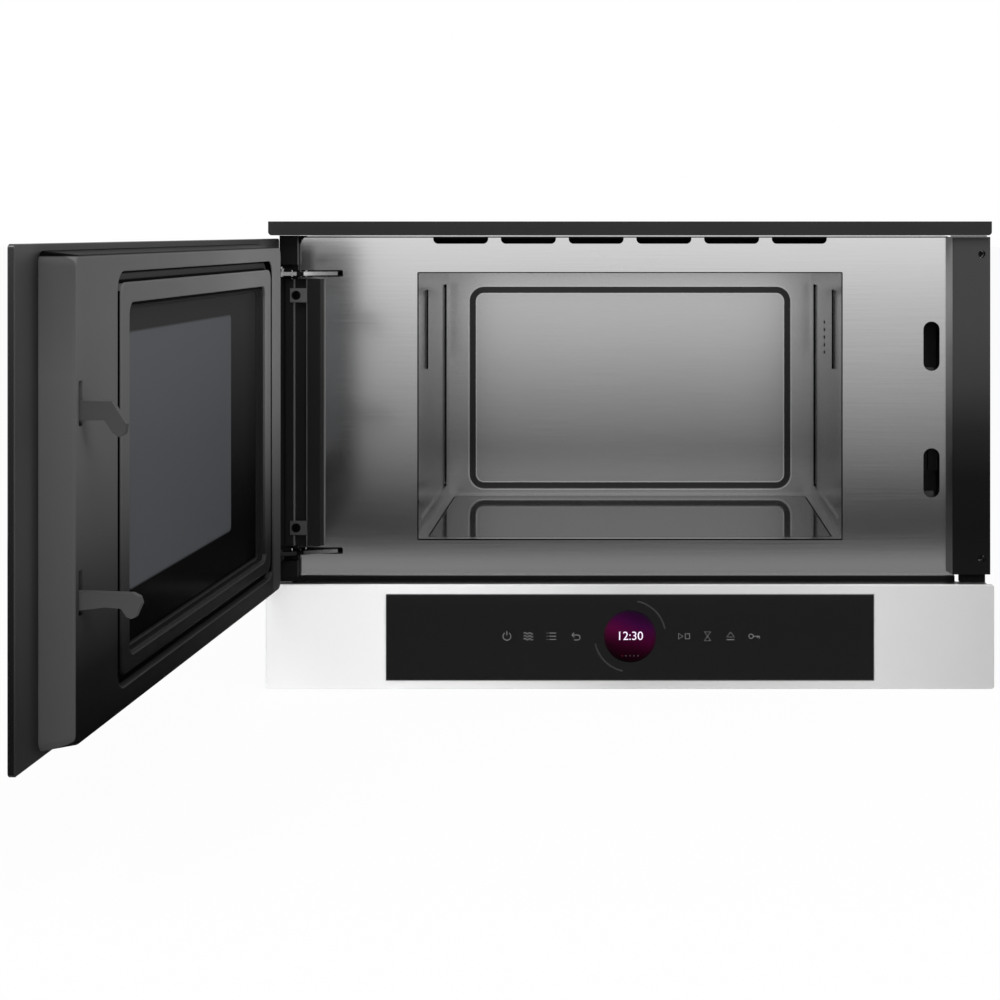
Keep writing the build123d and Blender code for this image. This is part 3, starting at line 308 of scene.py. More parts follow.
# Casing: base plate, outer cover and rear panel, folded from zinc-coated steel sheet.
# The zinc has a faint spangle and a soft, cloudy sheen.
def dress(finish, *names):
    """Gives CAD pieces their finish."""
    for name in names:
        node = frame["nodes"][name]
        node.data.materials.clear()
        node.data.materials.append(finish.material)


zinc = Finish("zinc_sheet", Metallic=0.75)
zinc_place = zinc.place()
zinc_cells = zinc.node("ShaderNodeTexVoronoi", inputs={"Vector": zinc_place, "Scale": 95.0}, output="Color")
zinc_grey = zinc.node("ShaderNodeRGBToBW", inputs=[zinc_cells])
zinc_cloud = zinc.noise(zinc_place, 7.0)
zinc.set("Base Color", zinc.mix(zinc_grey * 0.5 + zinc_cloud * 0.5, grey(132), grey(160)))
zinc.set("Roughness", zinc_grey * 0.10 + zinc_cloud * 0.12 + 0.48)
zinc.bump(zinc_grey, 0.06, 0.0004)
dress(zinc, "base_plate", "outer_cover", "rear_panel", "mains_filter")

# Screws of the casing: pan heads with a cross recess, in rows along the cover's rear edges and low
# on its sides. One head is cut by its recess, then set along each row.
screw_r = 0.0034
screw_h = 0.0011
casing_side, casing_back, casing_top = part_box("outer_cover")[1]
rear_row = casing_back - 0.006
top_row_start = -0.225
top_row_pitch = 0.150
side_row_start = 0.040
side_row_pitch = 0.095
low_row_z = 0.0075
low_row_start = 0.060
low_row_pitch = 0.105


def screw_row_tree(finish):
    """Node tree for one row of screws; its inputs are Count, Start, Step, Turn, Radius and Height."""
    tree = bpy.data.node_groups.new("screw_row", "GeometryNodeTree")
    tree.interface.new_socket("Geometry", in_out="OUTPUT", socket_type="NodeSocketGeometry")
    for name, kind in (
        ("Count", "NodeSocketInt"), ("Start", "NodeSocketVector"), ("Step", "NodeSocketVector"),
        ("Turn", "NodeSocketVector"), ("Radius", "NodeSocketFloat"), ("Height", "NodeSocketFloat"),
    ):
        tree.interface.new_socket(name, in_out="INPUT", socket_type=kind)

    def add(kind, settings=None, inputs=None):
        made = tree.nodes.new(kind)
        for name, value in (settings or {}).items():
            setattr(made, name, value)
        for key, value in (inputs or {}).items():
            if isinstance(value, bpy.types.NodeSocket):
                tree.links.new(value, made.inputs[key])
            else:
                made.inputs[key].default_value = value
        return made

    def times(value, factor):
        return add("ShaderNodeMath", {"operation": "MULTIPLY"}, {0: value, 1: factor}).outputs[0]

    given = add("NodeGroupInput").outputs
    head = add(
        "GeometryNodeMeshCone",
        inputs={
            "Vertices": 28, "Radius Top": times(given["Radius"], 0.66),
            "Radius Bottom": given["Radius"], "Depth": given["Height"],
        },
    )
    cutters = add("GeometryNodeJoinGeometry")
    for long_x, long_y in ((1.15, 0.26), (0.26, 1.15)):
        size = add(
            "ShaderNodeCombineXYZ",
            inputs={
                "X": times(given["Radius"], long_x), "Y": times(given["Radius"], long_y),
                "Z": given["Height"],
            },
        )
        bar = add("GeometryNodeMeshCube", inputs={"Size": size.outputs[0]})
        rise = add("ShaderNodeCombineXYZ", inputs={"Z": given["Height"]})
        lifted = add(
            "GeometryNodeTransform", inputs={"Geometry": bar.outputs[0], "Translation": rise.outputs[0]}
        )
        tree.links.new(lifted.outputs[0], cutters.inputs[0])
    cut = add(
        "GeometryNodeMeshBoolean", {"operation": "DIFFERENCE", "solver": "EXACT"},
        {"Mesh 1": head.outputs[0], "Mesh 2": cutters.outputs[0], "Self Intersection": True},
    )
    row = add(
        "GeometryNodeMeshLine", {"mode": "OFFSET"},
        {"Count": given["Count"], "Start Location": given["Start"], "Offset": given["Step"]},
    )
    turn = add("FunctionNodeEulerToRotation", inputs={0: given["Turn"]})
    placed = add(
        "GeometryNodeInstanceOnPoints",
        inputs={"Points": row.outputs[0], "Instance": cut.outputs[0], "Rotation": turn.outputs[0]},
    )
    solid = add("GeometryNodeRealizeInstances", inputs={0: placed.outputs[0]})
    painted = add("GeometryNodeSetMaterial", inputs={0: solid.outputs[0], "Material": finish.material})
    leave = add("NodeGroupOutput")
    tree.links.new(painted.outputs[0], leave.inputs[0])
    return tree


def baked(holder):
    """The plain mesh that an object's modifiers or its curve make; the object itself goes."""
    mesh = bpy.data.meshes.new_from_object(holder.evaluated_get(bpy.context.evaluated_depsgraph_get()))
    bpy.data.objects.remove(holder)
    return mesh


def grown(name, tree, **values):
    """A plain mesh that the node tree makes with these inputs."""
    holder = mesh_object(name, bpy.data.meshes.new(name))
    modifier = holder.modifiers.new(name, "NODES")
    modifier.node_group = tree
    for item in tree.interface.items_tree:
        if item.in_out == "INPUT" and item.name in values:
            modifier[item.identifier] = values[item.name]
    return baked(holder)


def merged(name, meshes, finish):
    """One piece from several meshes that are already in place."""
    points = []
    faces = []
    for mesh in meshes:
        first = len(points)
        points += [tuple(v.co) for v in mesh.vertices]
        faces += [[first + i for i in face.vertices] for face in mesh.polygons]
    joined = bpy.data.meshes.new(name)
    joined.from_pydata(points, [], faces)
    joined.materials.append(finish.material)
    return mesh_object(name, joined)


screw_steel = Finish("screw_steel", Metallic=1.0)
screw_marks = screw_steel.noise(screw_steel.place(), 1400.0, 2.0)
screw_steel.set("Base Color", screw_steel.mix(screw_marks, grey(120), grey(176)))
screw_steel.set("Roughness", screw_marks * 0.2 + 0.28)
screw_rows = screw_row_tree(screw_steel)
row_plans = [(4, (top_row_start, rear_row, casing_top), (top_row_pitch, 0.0, 0.0), (0.0, 0.0, 0.0))]
sides = ((casing_side, (0.0, pi / 2, 0.0)), (-casing_side, (0.0, -pi / 2, 0.0)))
row_plans += [(4, (x, rear_row, side_row_start), (0.0, 0.0, side_row_pitch), turn) for x, turn in sides]
row_plans += [(3, (x, low_row_start, low_row_z), (0.0, low_row_pitch, 0.0), turn) for x, turn in sides]
casing_screws = merged(
    "casing_screws",
    [
        grown("screw_row", screw_rows, Count=count, Start=start, Step=step, Turn=turn,
              Radius=screw_r, Height=screw_h)
        for count, start, step, turn in row_plans
    ],
    screw_steel,
)
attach(casing_screws, "chassis")


# Front plate and cavity: stainless steel sheet with a fine level brushing.
# The cavity's walls are pressed, and their brushing runs front to back.
def brushed(name, run, level, roughness, depth=0.03):
    """Brushed stainless steel; run squeezes the grain along the axis that the brush follows."""
    steel = Finish(name, Metallic=1.0)
    place = steel.place()
    grain = steel.noise(steel.stretch(place, run), 1.0, 3.0, 0.6)
    cloud = steel.noise(place, 5.0)
    steel.colour = steel.mix(grain * 0.5 + cloud * 0.5, grey(level - 12), grey(level + 10))
    steel.set("Base Color", steel.colour)
    steel.set("Roughness", grain * 0.05 + cloud * 0.04 + roughness - 0.04)
    steel.bump(grain, depth, 0.0002)
    return steel


opening_x = (-0.1756, 0.1756)
opening_z = (0.1188, 0.3400)
plate_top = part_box("front_plate")[1][2]
front_steel = brushed("front_steel", (14.0, 500.0, 1300.0), 222, 0.12, 0.015)
plate_x, _, plate_z = front_steel.axes(front_steel.place())
# A painted shade line runs round the edge of the opening, and another along the fold below the top bar.
from_opening = front_steel.outline(plate_x, plate_z, opening_x, opening_z, 0.001)
opening_edge_shade = front_steel.ramp(from_opening, 0.0002, 0.0003, 1.0, 0.0)
fold_shade = front_steel.band(plate_z, plate_top - 0.0016, plate_top - 0.0010, 0.0003)
front_tint = front_steel.mix(opening_edge_shade.at_least(fold_shade), front_steel.colour, grey(52))
front_steel.set("Base Color", front_tint)
dress(front_steel, "front_plate")

# The cavity's steps and front edge have painted shade between the sheets, and the walls are painted darker
# towards the bottom and the right, as painted shade.
cavity_half = 0.175
cavity_front = 0.0076
cavity_step_z = (0.1320, 0.3300)
cavity_steel = brushed("cavity_steel", (900.0, 20.0, 1200.0), 206, 0.22, 0.015)
wall_x, wall_y, wall_z = cavity_steel.axes(cavity_steel.place())
step_wall_shade = cavity_steel.band(wall_x.size(), cavity_half + 0.0002, cavity_half + 0.0017, 0.0001)
step_wall_shade = step_wall_shade * cavity_steel.band(wall_z, *cavity_step_z, 0.0004)
front_edge_shade = cavity_steel.ramp(wall_y, cavity_front, cavity_front + 0.0006, 1.0, 0.0)
wall_painted_light = cavity_steel.fade(
    cavity_steel.colour, wall_z, 0.100, 0.340, (0.38, 0.38, 0.43, 0.45, 0.47, 0.52, 0.55)
)
wall_painted_light = cavity_steel.fade(wall_painted_light, wall_x, -cavity_half, cavity_half, (1.0, 1.0, 0.82))
cavity_steel.set("Base Color", cavity_steel.mix(step_wall_shade.at_least(front_edge_shade), wall_painted_light, grey(20)))
dress(cavity_steel, "cavity_wrapper", "cavity_floor", "waveguide")

# The rear wall's pressed groove has painted shade, between two painted highlights on its lips, and the wall
# is painted darker towards the bottom.
bead_x = (-0.1520, 0.1520)
bead_z = (0.1280, 0.3170)
bead_r = 0.011
rear_steel = brushed("rear_steel", (20.0, 900.0, 1200.0), 226, 0.22, 0.015)
back_x, _, back_z = rear_steel.axes(rear_steel.place())
from_bead = rear_steel.outline(back_x, back_z, bead_x, bead_z, bead_r).size()
bead_shade = rear_steel.ramp(from_bead, 0.0028, 0.0031, 1.0, 0.0)
bead_lip_highlight = rear_steel.band(from_bead, 0.0033, 0.0040, 0.0003)
rear_painted_light = rear_steel.fade(
    rear_steel.colour, back_z, 0.120, 0.340, (0.52, 0.60, 0.72, 0.83, 0.93, 1.0, 1.0)
)
rear_lit = rear_steel.mix(bead_lip_highlight * 0.5, rear_painted_light, grey(250))
rear_steel.set("Base Color", rear_steel.mix(bead_shade, rear_lit, grey(66)))
dress(rear_steel, "cavity_rear_wall")

# Glass-ceramic floor: dark, polished on top, set in the cavity's pan.
# Tiny pale flecks lie inside the glass.
ceramic = Finish("glass_ceramic", Specular_IOR_Level=0.07)
ceramic_place = ceramic.place()
ceramic_mask = ceramic.ramp(ceramic.noise(ceramic_place, 900.0, 1.0), 0.70, 0.78)
ceramic.set("Base Color", ceramic.mix(ceramic_mask, grey(30), grey(60)))
ceramic.set("Roughness", ceramic.noise(ceramic_place, 12.0) * 0.06 + 0.05)
dress(ceramic, "ceramic_floor")


# Black trim: the two moulded columns, the carrier under the door and the painted top bar.
# The plastic has a fine satin grain, and the bar is a touch smoother.
def moulding(name, level, roughness, grain=1600.0, depth=0.06, gloss=0.5):
    plastic = Finish(name, Specular_IOR_Level=gloss)
    place = plastic.place()
    fine = plastic.noise(place, grain, 2.0)
    cloud = plastic.noise(place, 9.0)
    plastic.colour = plastic.mix(cloud, grey(level - 3), grey(level + 3))
    plastic.set("Base Color", plastic.colour)
    plastic.set("Roughness", cloud * 0.06 + fine * 0.06 + roughness - 0.06)
    plastic.bump(fine, depth, 0.0002)
    return plastic


bar_paint = moulding("bar_paint", 27, 0.36, 2600.0, 0.04, gloss=0.3)
dress(bar_paint, "top_bar")
trim_plastic = moulding("trim_plastic", 16, 0.40, gloss=0.10)
dress(trim_plastic, "left_column", "panel_carrier", "cable_gland", "hinge_housings")

# The right column's drafted edge beside the front plate has a painted highlight, and face and edge are
# painted darker towards the bottom as painted shade.
column_draft_x = 0.26375
column_span = (0.093, 0.370)
column_plastic = moulding("column_plastic", 58, 0.34, gloss=0.15)
column_x, _, column_z = column_plastic.axes(column_plastic.place())
column_draft = column_plastic.ramp(column_x, column_draft_x, column_draft_x + 0.0002, 1.0, 0.0)
column_face_painted_light = column_plastic.fade(
    column_plastic.colour, column_z, *column_span, (0.10, 0.05, 0.06, 0.25, 0.75, 0.92, 0.97, 1.0)
)
column_draft_highlight = column_plastic.fade(
    grey(150), column_z, *column_span, (0.30, 0.09, 0.06, 0.12, 0.40, 0.80, 0.96, 1.0)
)
column_plastic.set("Base Color", column_plastic.mix(column_draft, column_face_painted_light, column_draft_highlight))
dress(column_plastic, "right_column")


# Hinge cover: a moulding with an upright channel and a thin lip towards the door's edge.
# The channel's edges and the cover's right edge have painted highlights, and it is painted black behind the
# two screw holes, as painted shade.
def prism(outline, span, axis, bevel=0.0002):
    """A closed bar along one axis, its edges just broken; the outline is on the other two axes."""
    shape = bmesh.new()
    ends = []
    for end in span:
        ring = []
        for pair in outline:
            point = list(pair)
            point.insert(axis, end)
            ring.append(shape.verts.new(point))
        ends.append(ring)
        shape.faces.new(ring)
    count = len(outline)
    for k in range(count):
        after = (k + 1) % count
        shape.faces.new((ends[0][k], ends[0][after], ends[1][after], ends[1][k]))
    bmesh.ops.recalc_face_normals(shape, faces=shape.faces)
    if bevel:
        bmesh.ops.bevel(shape, geom=shape.edges[:], offset=bevel, segments=1, affect="EDGES")
    made = bpy.data.meshes.new("prism")
    shape.to_mesh(made)
    shape.free()
    return made


cover_side = (-0.2880, -0.2518)
cover_shoulder = (-0.2833, -0.2548)
cover_ledge = (-0.2789, -0.2722)
channel_x = (-0.2761, -0.2662)
lip_end = -0.2848
lip_y = (-0.0013, -0.0004)
cover_face = -0.003
cover_floor = 0.0014
cover_seat = (0.0028, 0.0052)
cover_draft_end = 0.0038
cover_z = (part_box("hinge_cover")[0][2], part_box("hinge_cover")[1][2])
cover_outline = [
    (cover_side[0], lip_y[1]), (cover_side[0], lip_y[0]), (lip_end, lip_y[0]),
    (cover_shoulder[0], cover_face), (channel_x[0], cover_face), (channel_x[0], cover_floor),
    (channel_x[1], cover_floor), (channel_x[1], cover_face), (cover_shoulder[1], cover_face),
    (cover_side[1], cover_draft_end), (cover_side[1], cover_seat[1]), (cover_ledge[1], cover_seat[1]),
    (cover_ledge[1], cover_seat[0]), (cover_ledge[0], cover_seat[0]), (cover_ledge[0], lip_y[1]),
]
hole_x = -0.2745
hole_z = (0.1301, 0.3213)
hole_r = 0.003


def from_screw_hole(across, up):
    """Distance from the middle of the nearer of the cover's two screw holes."""
    away = (up - sum(hole_z) / 2).size() - (hole_z[1] - hole_z[0]) / 2
    return ((across - hole_x) * (across - hole_x) + away * away).root()


cover_plastic = moulding("cover_plastic", 24, 0.30, gloss=0.15)
cover_x, _, cover_up = cover_plastic.axes(cover_plastic.place())
cover_edge_highlight = sum(
    cover_plastic.band(cover_x, low, high, 0.0002)
    for low, high in (
        (channel_x[0] - 0.0005, channel_x[0]), (channel_x[1], channel_x[1] + 0.0005),
        (cover_side[1] - 0.0007, cover_side[1]),
    )
)
cover_edge_highlight_tint = cover_plastic.mix(cover_edge_highlight, cover_plastic.colour, grey(92))
hole_shade = cover_plastic.ramp(from_screw_hole(cover_x, cover_up), 0.0038, 0.0040, 1.0, 0.0)
cover_plastic.set("Base Color", cover_plastic.mix(hole_shade, cover_edge_highlight_tint, grey(2)))
hinge_moulding = merged("hinge_moulding", [prism(cover_outline, cover_z, 2)], cover_plastic)
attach(hinge_moulding, "chassis")
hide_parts("hinge_cover")


# Seals: dark foam strips in the gaps between the trim, the front plate and the furniture, which stand in for
# the shade in those gaps.
# The two at the hinges are notched for the arms. All are cut from sheet and stuck on.
def rectangle(x, z):
    return [(x[0], z[0]), (x[1], z[0]), (x[1], z[1]), (x[0], z[1])]


def notched(x, z, notch_x, notch_z):
    """A rectangle with a notch in its right side."""
    return [
        (x[0], z[0]), (x[1], z[0]), (x[1], notch_z[0]), (notch_x, notch_z[0]),
        (notch_x, notch_z[1]), (x[1], notch_z[1]), (x[1], z[1]), (x[0], z[1]),
    ]


carrier_top = 0.0861
trim_back = lip_y[1]
corner_x = (-0.2790, -0.2684, -0.2620)
corner_z = (0.3613, 0.3703)
corner_outline = [
    (corner_x[0], carrier_top), (corner_x[1], carrier_top), (corner_x[1], corner_z[0]),
    (corner_x[2], corner_z[0]), (corner_x[2], corner_z[1]), (corner_x[0], corner_z[1]),
]
arm_strip_x = (cover_side[0], -0.2785)
arm_notch_x = -0.2794
arm_strips = [
    ((0.1030, 0.1149), (0.1084, 0.1114)),
    ((0.3347, 0.3465), (0.3376, 0.3406)),
]
left_strip_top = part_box("left_column")[0][2] - 0.0002
plain_strips = [
    ((cover_side[0], -0.2735), (carrier_top, left_strip_top), (-0.0050, trim_back)),
    ((cover_ledge[0], -0.2681), (0.0800, 0.0893), cover_seat),
    ((0.2704, 0.2913), (carrier_top, 0.0930), (-0.0080, trim_back)),
    ((0.2640, 0.2928), (0.3695, 0.3704), (-0.0080, trim_back)),
]
gap_shade_foam = moulding("gap_shade_foam", 12, 0.8, 900.0, 0.3, gloss=0.1)
gap_shade_seals = merged(
    "gap_shade_seals",
    [
        prism(corner_outline, (0.0066, 0.0078), 1),
        *[prism(notched(arm_strip_x, z, arm_notch_x, arm_z), lip_y, 1) for z, arm_z in arm_strips],
        *[prism(rectangle(x, z), y, 1) for x, z, y in plain_strips],
    ],
    gap_shade_foam,
)
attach(gap_shade_seals, "chassis")


# Skins in the right column's two screw holes: thin moulded discs near the back, which the screws
# break through.
def arc(at, r, start, end, count=24):
    """Points along part of a circle, in degrees from the right, anticlockwise."""
    turns = [radians(start + (end - start) * k / (count - 1)) for k in range(count)]
    return [(at[0] + r * cos(a), at[1] + r * sin(a)) for a in turns]


skin_x = 0.2878
skin_z = (0.1060, 0.3552)
skin_r = 0.00285
skin_y = (-0.0011, -0.0006)
skin_discs = [prism(arc((skin_x, z), skin_r, 0, 345), skin_y, 1, 0) for z in skin_z]
hole_skins = merged("hole_skins", skin_discs, bar_paint)
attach(hole_skins, "chassis")

# Air duct: a shallow moulded channel on the cover, open to the front, that carries the air to the
# six vents. A cheek closes each end.
duct_half = 0.1680
duct_wall = 0.0012
duct_gap = 0.0001
duct_y = (0.0073, 0.0620)
duct_z = (0.3613, 0.3690)
duct_channel = [
    (duct_y[0], duct_z[0]), (duct_y[1], duct_z[0]), (duct_y[1], duct_z[1]), (duct_y[0], duct_z[1]),
    (duct_y[0], duct_z[1] - duct_wall), (duct_y[1] - duct_wall, duct_z[1] - duct_wall),
    (duct_y[1] - duct_wall, duct_z[0] + duct_wall), (duct_y[0], duct_z[0] + duct_wall),
]
cheek = (duct_half + duct_gap, duct_half + duct_gap + duct_wall)
vent_duct = merged(
    "vent_duct",
    [
        prism(duct_channel, (-duct_half, duct_half), 0),
        prism(rectangle(duct_y, duct_z), (-cheek[1], -cheek[0]), 0),
        prism(rectangle(duct_y, duct_z), cheek, 0),
    ],
    trim_plastic,
)
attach(vent_duct, "chassis")

# Hinges: bright plated steel arms, pins and leaves.
# The plating is smooth, with slight wear marks from the press. Each arm has a band of painted shadow where
# it passes the trim, and painted light fades along it, the lower arm darker.
arm_x = (-0.2680, -0.2415)
arm_shadow_x = (-0.2732, -0.2680)
arms_middle = 0.2240
plated = Finish("plated_steel", Metallic=1.0)
plated_marks = plated.noise(plated.stretch(plated.place(), (60.0, 30.0, 300.0)), 1.0, 3.0)
plated_x, _, plated_z = plated.axes(plated.place())
plated_colour = plated.mix(plated_marks, grey(200), grey(228))
before_arm_shadow = plated.ramp(plated_x, arm_shadow_x[0] - 0.0001, arm_shadow_x[0] + 0.0001, 1.0, 0.0)


def painted_arm_light(levels, knuckle):
    """One arm's colour: painted light fading along it, and painted grey on the knuckle before the shadow."""
    return plated.mix(before_arm_shadow, plated.fade(plated_colour, plated_x, *arm_x, levels), grey(knuckle))


plated_painted_light = plated.mix(
    plated.ramp(plated_z, arms_middle, arms_middle + 0.0010),
    painted_arm_light((0.16, 0.30, 0.45, 0.55), 60),
    painted_arm_light((1.0, 0.55, 0.42, 0.30), 150),
)
arm_shadow = plated.band(plated_x, *arm_shadow_x, 0.0003)
plated.set("Base Color", plated.mix(arm_shadow, plated_painted_light, grey(24)))
plated.set("Roughness", plated_marks * 0.1 + 0.22)
dress(plated, "hinge_arms", "hinge_pins", "hinge_leaves")


# Fixing lugs: two small grey steel plates in the hinge cover's channel, each with a hole for the
# screw into the furniture. A dark ring of painted shade shows round each hole, as round a countersink.
def rounded(x, z, r, count=9):
    """A rectangle with round corners, anticlockwise from its upper right corner."""
    points = []
    for right, high, start in ((1, 1, 0), (0, 1, 90), (0, 0, 180), (1, 0, 270)):
        corner = (x[right] + (-r if right else r), z[high] + (-r if high else r))
        points += arc(corner, r, start, start + 90, count)
    return points


def hoop(rings, capped=False):
    """A closed skin over rings of points; the last ring joins the first, or both ends are capped."""
    shape = bmesh.new()
    made_rings = [[shape.verts.new(point) for point in ring] for ring in rings]
    pairs = list(zip(made_rings, made_rings[1:]))
    if capped:
        shape.faces.new(made_rings[0])
        shape.faces.new(made_rings[-1])
    else:
        pairs.append((made_rings[-1], made_rings[0]))
    for one, other in pairs:
        for k in range(len(one)):
            after = (k + 1) % len(one)
            shape.faces.new((one[k], one[after], other[after], other[k]))
    bmesh.ops.recalc_face_normals(shape, faces=shape.faces)
    made = bpy.data.meshes.new("hoop")
    shape.to_mesh(made)
    shape.free()
    return made


lug_side = (-0.2794, -0.2654)
lug_half = 0.00575
lug_y = (-0.0046, -0.0030)
lug_steel = brushed("lug_steel", (200.0, 200.0, 200.0), 104, 0.5)
lug_x, _, lug_up = lug_steel.axes(lug_steel.place())
hole_ring_shade = lug_steel.ramp(from_screw_hole(lug_x, lug_up), 0.0036, 0.0040, 1.0, 0.0)
lug_steel.set("Base Color", lug_steel.mix(hole_ring_shade, lug_steel.colour, grey(22)))
lug_meshes = []
for z in hole_z:
    lug_rim = rounded(lug_side, (z - lug_half, z + lug_half), 0.0003)
    hole_rim = arc((hole_x, z), hole_r, 6, 354, len(lug_rim))
    rims = ((lug_rim, lug_y[0]), (lug_rim, lug_y[1]), (hole_rim, lug_y[1]), (hole_rim, lug_y[0]))
    lug_meshes.append(hoop([[(across, y, up) for across, up in rim] for rim, y in rims]))
fixing_lugs = merged("fixing_lugs", lug_meshes, lug_steel)
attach(fixing_lugs, "chassis")
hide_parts("fixing_tabs")

# Control panel: white satin front with a black glass set in it.
# The paint has a very faint orange peel, and is painted greyer towards the right as painted shade.
# The glass's edge has a painted highlight.
panel_half = 0.297
white_paint = moulding("white_paint", 244, 0.34, 3000.0, 0.02)
white_x = white_paint.axes(white_paint.place())[0]
white_painted_light = white_paint.fade(
    white_paint.colour, white_x, -panel_half, panel_half, (1.0, 1.0, 0.80, 0.61, 0.64, 0.68, 0.57)
)
white_paint.set("Base Color", white_painted_light)
dress(white_paint, "fascia_panel")
glass_low, glass_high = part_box("control_glass")
glass_face = glass_low[1]
control_glass = Finish("control_glass")
control_place = control_glass.place()
control_x, _, control_z = control_glass.axes(control_place)
from_rim = control_glass.outline(
    control_x, control_z, (glass_low[0], glass_high[0]), (glass_low[2], glass_high[2]), 0.001
)
glass_edge_highlight = control_glass.ramp(from_rim, -0.0006, -0.0003)
control_glass.set("Base Color", control_glass.mix(glass_edge_highlight, grey(24), grey(120)))
control_glass.set("Roughness", control_glass.noise(control_place, 14.0) * 0.05 + 0.06)
dress(control_glass, "control_glass")

# Printing on the control glass: plain pictograms and page dots in fired enamel, and the touch ring
# round the display as painted highlights, all lines a few hundredths of a millimetre proud of the glass.
print_proud = 0.00004
display_at = (0.0, 0.0439)
display_r = 0.0214


def printed(name, strokes, half_width, finish):
    """Printed lines through the points of each stroke, flattened onto the glass."""
    curve = bpy.data.curves.new(name, "CURVE")
    curve.dimensions = "3D"
    curve.bevel_depth = half_width
    curve.bevel_resolution = 2
    curve.use_fill_caps = True
    for points, closed in strokes:
        line = curve.splines.new("POLY")
        line.points.add(len(points) - 1)
        for point, (x, z) in zip(line.points, points):
            point.co = (x, 0.0, z, 1.0)
        line.use_cyclic_u = closed
    holder = bpy.data.objects.new(name, curve)
    bpy.context.scene.collection.objects.link(holder)
    mesh = baked(holder)
    mesh.transform(Matrix.Diagonal((1.0, print_proud / half_width, 1.0, 1.0)))
    mesh.transform(Matrix.Translation((0.0, glass_face, 0.0)))
    mesh.materials.clear()
    mesh.materials.append(finish.material)
    piece = mesh_object(name, mesh)
    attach(piece, "chassis")
    return piece


pictograms = []


def stroke(x, points, closed=False):
    """Adds a line to the pictogram at this place across the glass; its points are in millimetres."""
    placed = [(x + px / 1000, display_at[1] + pz / 1000) for px, pz in points]
    pictograms.append((placed, closed))


# Switch: an open ring with an upright bar.
stroke(-0.1003, arc((0, 0), 3.2, 125, 415))
stroke(-0.1003, [(0, 0.8), (0, 4.2)])
# Heat: three level waves.
for rise in (-2.4, 0.0, 2.4):
    stroke(-0.0828, [(-3.8 + 7.6 * k / 24, rise + 0.7 * sin(k / 24 * 4 * pi)) for k in range(25)])
# List: three bars with short marks before them.
for rise in (-2.6, 0.0, 2.6):
    stroke(-0.0640, [(-1.8, rise), (3.8, rise)])
    stroke(-0.0640, [(-3.8, rise), (-3.2, rise)])
# Back: a bent arrow.
stroke(-0.0440, [(-3.4, 1.0)] + arc((1.2, -1.0), 2.0, 90, -90) + [(-1.6, -3.0)])
stroke(-0.0440, [(-1.4, 3.0), (-3.4, 1.0), (-1.4, -1.0)])
# Start and stop: a triangle and a square.
stroke(0.0440, [(-4.4, -2.3), (-4.4, 2.3), (-0.8, 0.0)], True)
stroke(0.0440, [(1.0, -2.0), (1.0, 2.0), (4.6, 2.0), (4.6, -2.0)], True)
# Timer: an hourglass.
stroke(0.0632, [(-2.6, 3.6), (2.6, 3.6), (-2.6, -3.6), (2.6, -3.6)], True)
# Open: a triangle over a bar.
stroke(0.0819, [(-3.2, -0.6), (3.2, -0.6), (0.0, 3.4)], True)
stroke(0.0819, [(-3.2, -2.8), (3.2, -2.8)])
# Lock: a key.
stroke(0.1011, arc((-2.4, 0), 1.8, 0, 345), True)
stroke(0.1011, [(-0.6, 0), (4.4, 0), (4.4, -1.8)])
stroke(0.1011, [(2.8, 0), (2.8, -1.5)])

enamel = Finish("enamel_print", Roughness=0.5)
enamel_wear = enamel.noise(enamel.place(), 700.0, 2.0)
enamel.set("Base Color", enamel.mix(enamel_wear, grey(120), grey(150)))
printed("panel_pictograms", pictograms, 0.00024, enamel)

# The touch ring shows as two faint crescents of painted highlight.
ring_r = 0.0290
touch_ring_highlight = Finish("touch_ring_highlight", Roughness=0.4)
ring_highlight_mottle = touch_ring_highlight.noise(touch_ring_highlight.place(), 200.0, 2.0)
touch_ring_highlight.set("Base Color", touch_ring_highlight.mix(ring_highlight_mottle, grey(34), grey(46)))
crescents = [(arc(display_at, ring_r, start, start + 66, 40), False) for start in (12, 192)]
printed("touch_ring", crescents, 0.0007, touch_ring_highlight)

# Page dots lie under the display's numbers, the first one red.
dot_pitch = 0.00325
dot_z = 0.0280
dot_half = 0.0001
for name, places, colours in (
    ("page_dot_first", (-2,), (rgb(170, 30, 44), rgb(200, 44, 60))),
    ("page_dots", (-1, 0, 1, 2), (grey(130), grey(160))),
):
    dot_print = Finish(name + "_print", Roughness=0.5)
    dot_print.set("Base Color", dot_print.mix(dot_print.noise(dot_print.place(), 900.0), *colours))
    dots = [
        ([(k * dot_pitch - dot_half, dot_z), (k * dot_pitch + dot_half, dot_z)], False) for k in places
    ]
    printed(name, dots, 0.0006, dot_print)

# Display: a round screen that glows a little, with plain numbers over a soft colour field.
# Its disc is set flush in the face of the control glass.
display_sides = 48
display_glow = Finish("display_glow", Roughness=0.12, Emission_Strength=0.28, Specular_IOR_Level=0.02)
display_place = display_glow.place()
display_x, _, display_z = display_glow.axes(display_place)
across = display_x - display_at[0]
up = display_z - display_at[1]
haze = display_glow.noise(display_place, 60.0, 1.0)
field = display_glow.node(
    "ShaderNodeValToRGB",
    {"stops": [
        (0.0, rgb(18, 3, 12)), (0.25, rgb(44, 5, 24)), (0.5, rgb(66, 6, 42)),
        (0.75, rgb(46, 6, 44)), (1.0, rgb(20, 5, 26)),
    ]},
    [(across * 0.35 + up) / (2.2 * display_r) + haze * 0.16 + 0.42],
)
from_centre = (across * across + up * up).root()
rim_shade = display_glow.ramp(from_centre, display_r * 0.86, display_r, 0.0, 0.6)
display_field = display_glow.mix(rim_shade, field, grey(18))
display_field = display_glow.fade(display_field, up, -display_r, display_r, (0.25, 0.5, 1.0, 0.95))
display_glow.set("Base Color", display_field)
display_glow.set("Emission Color", display_field)
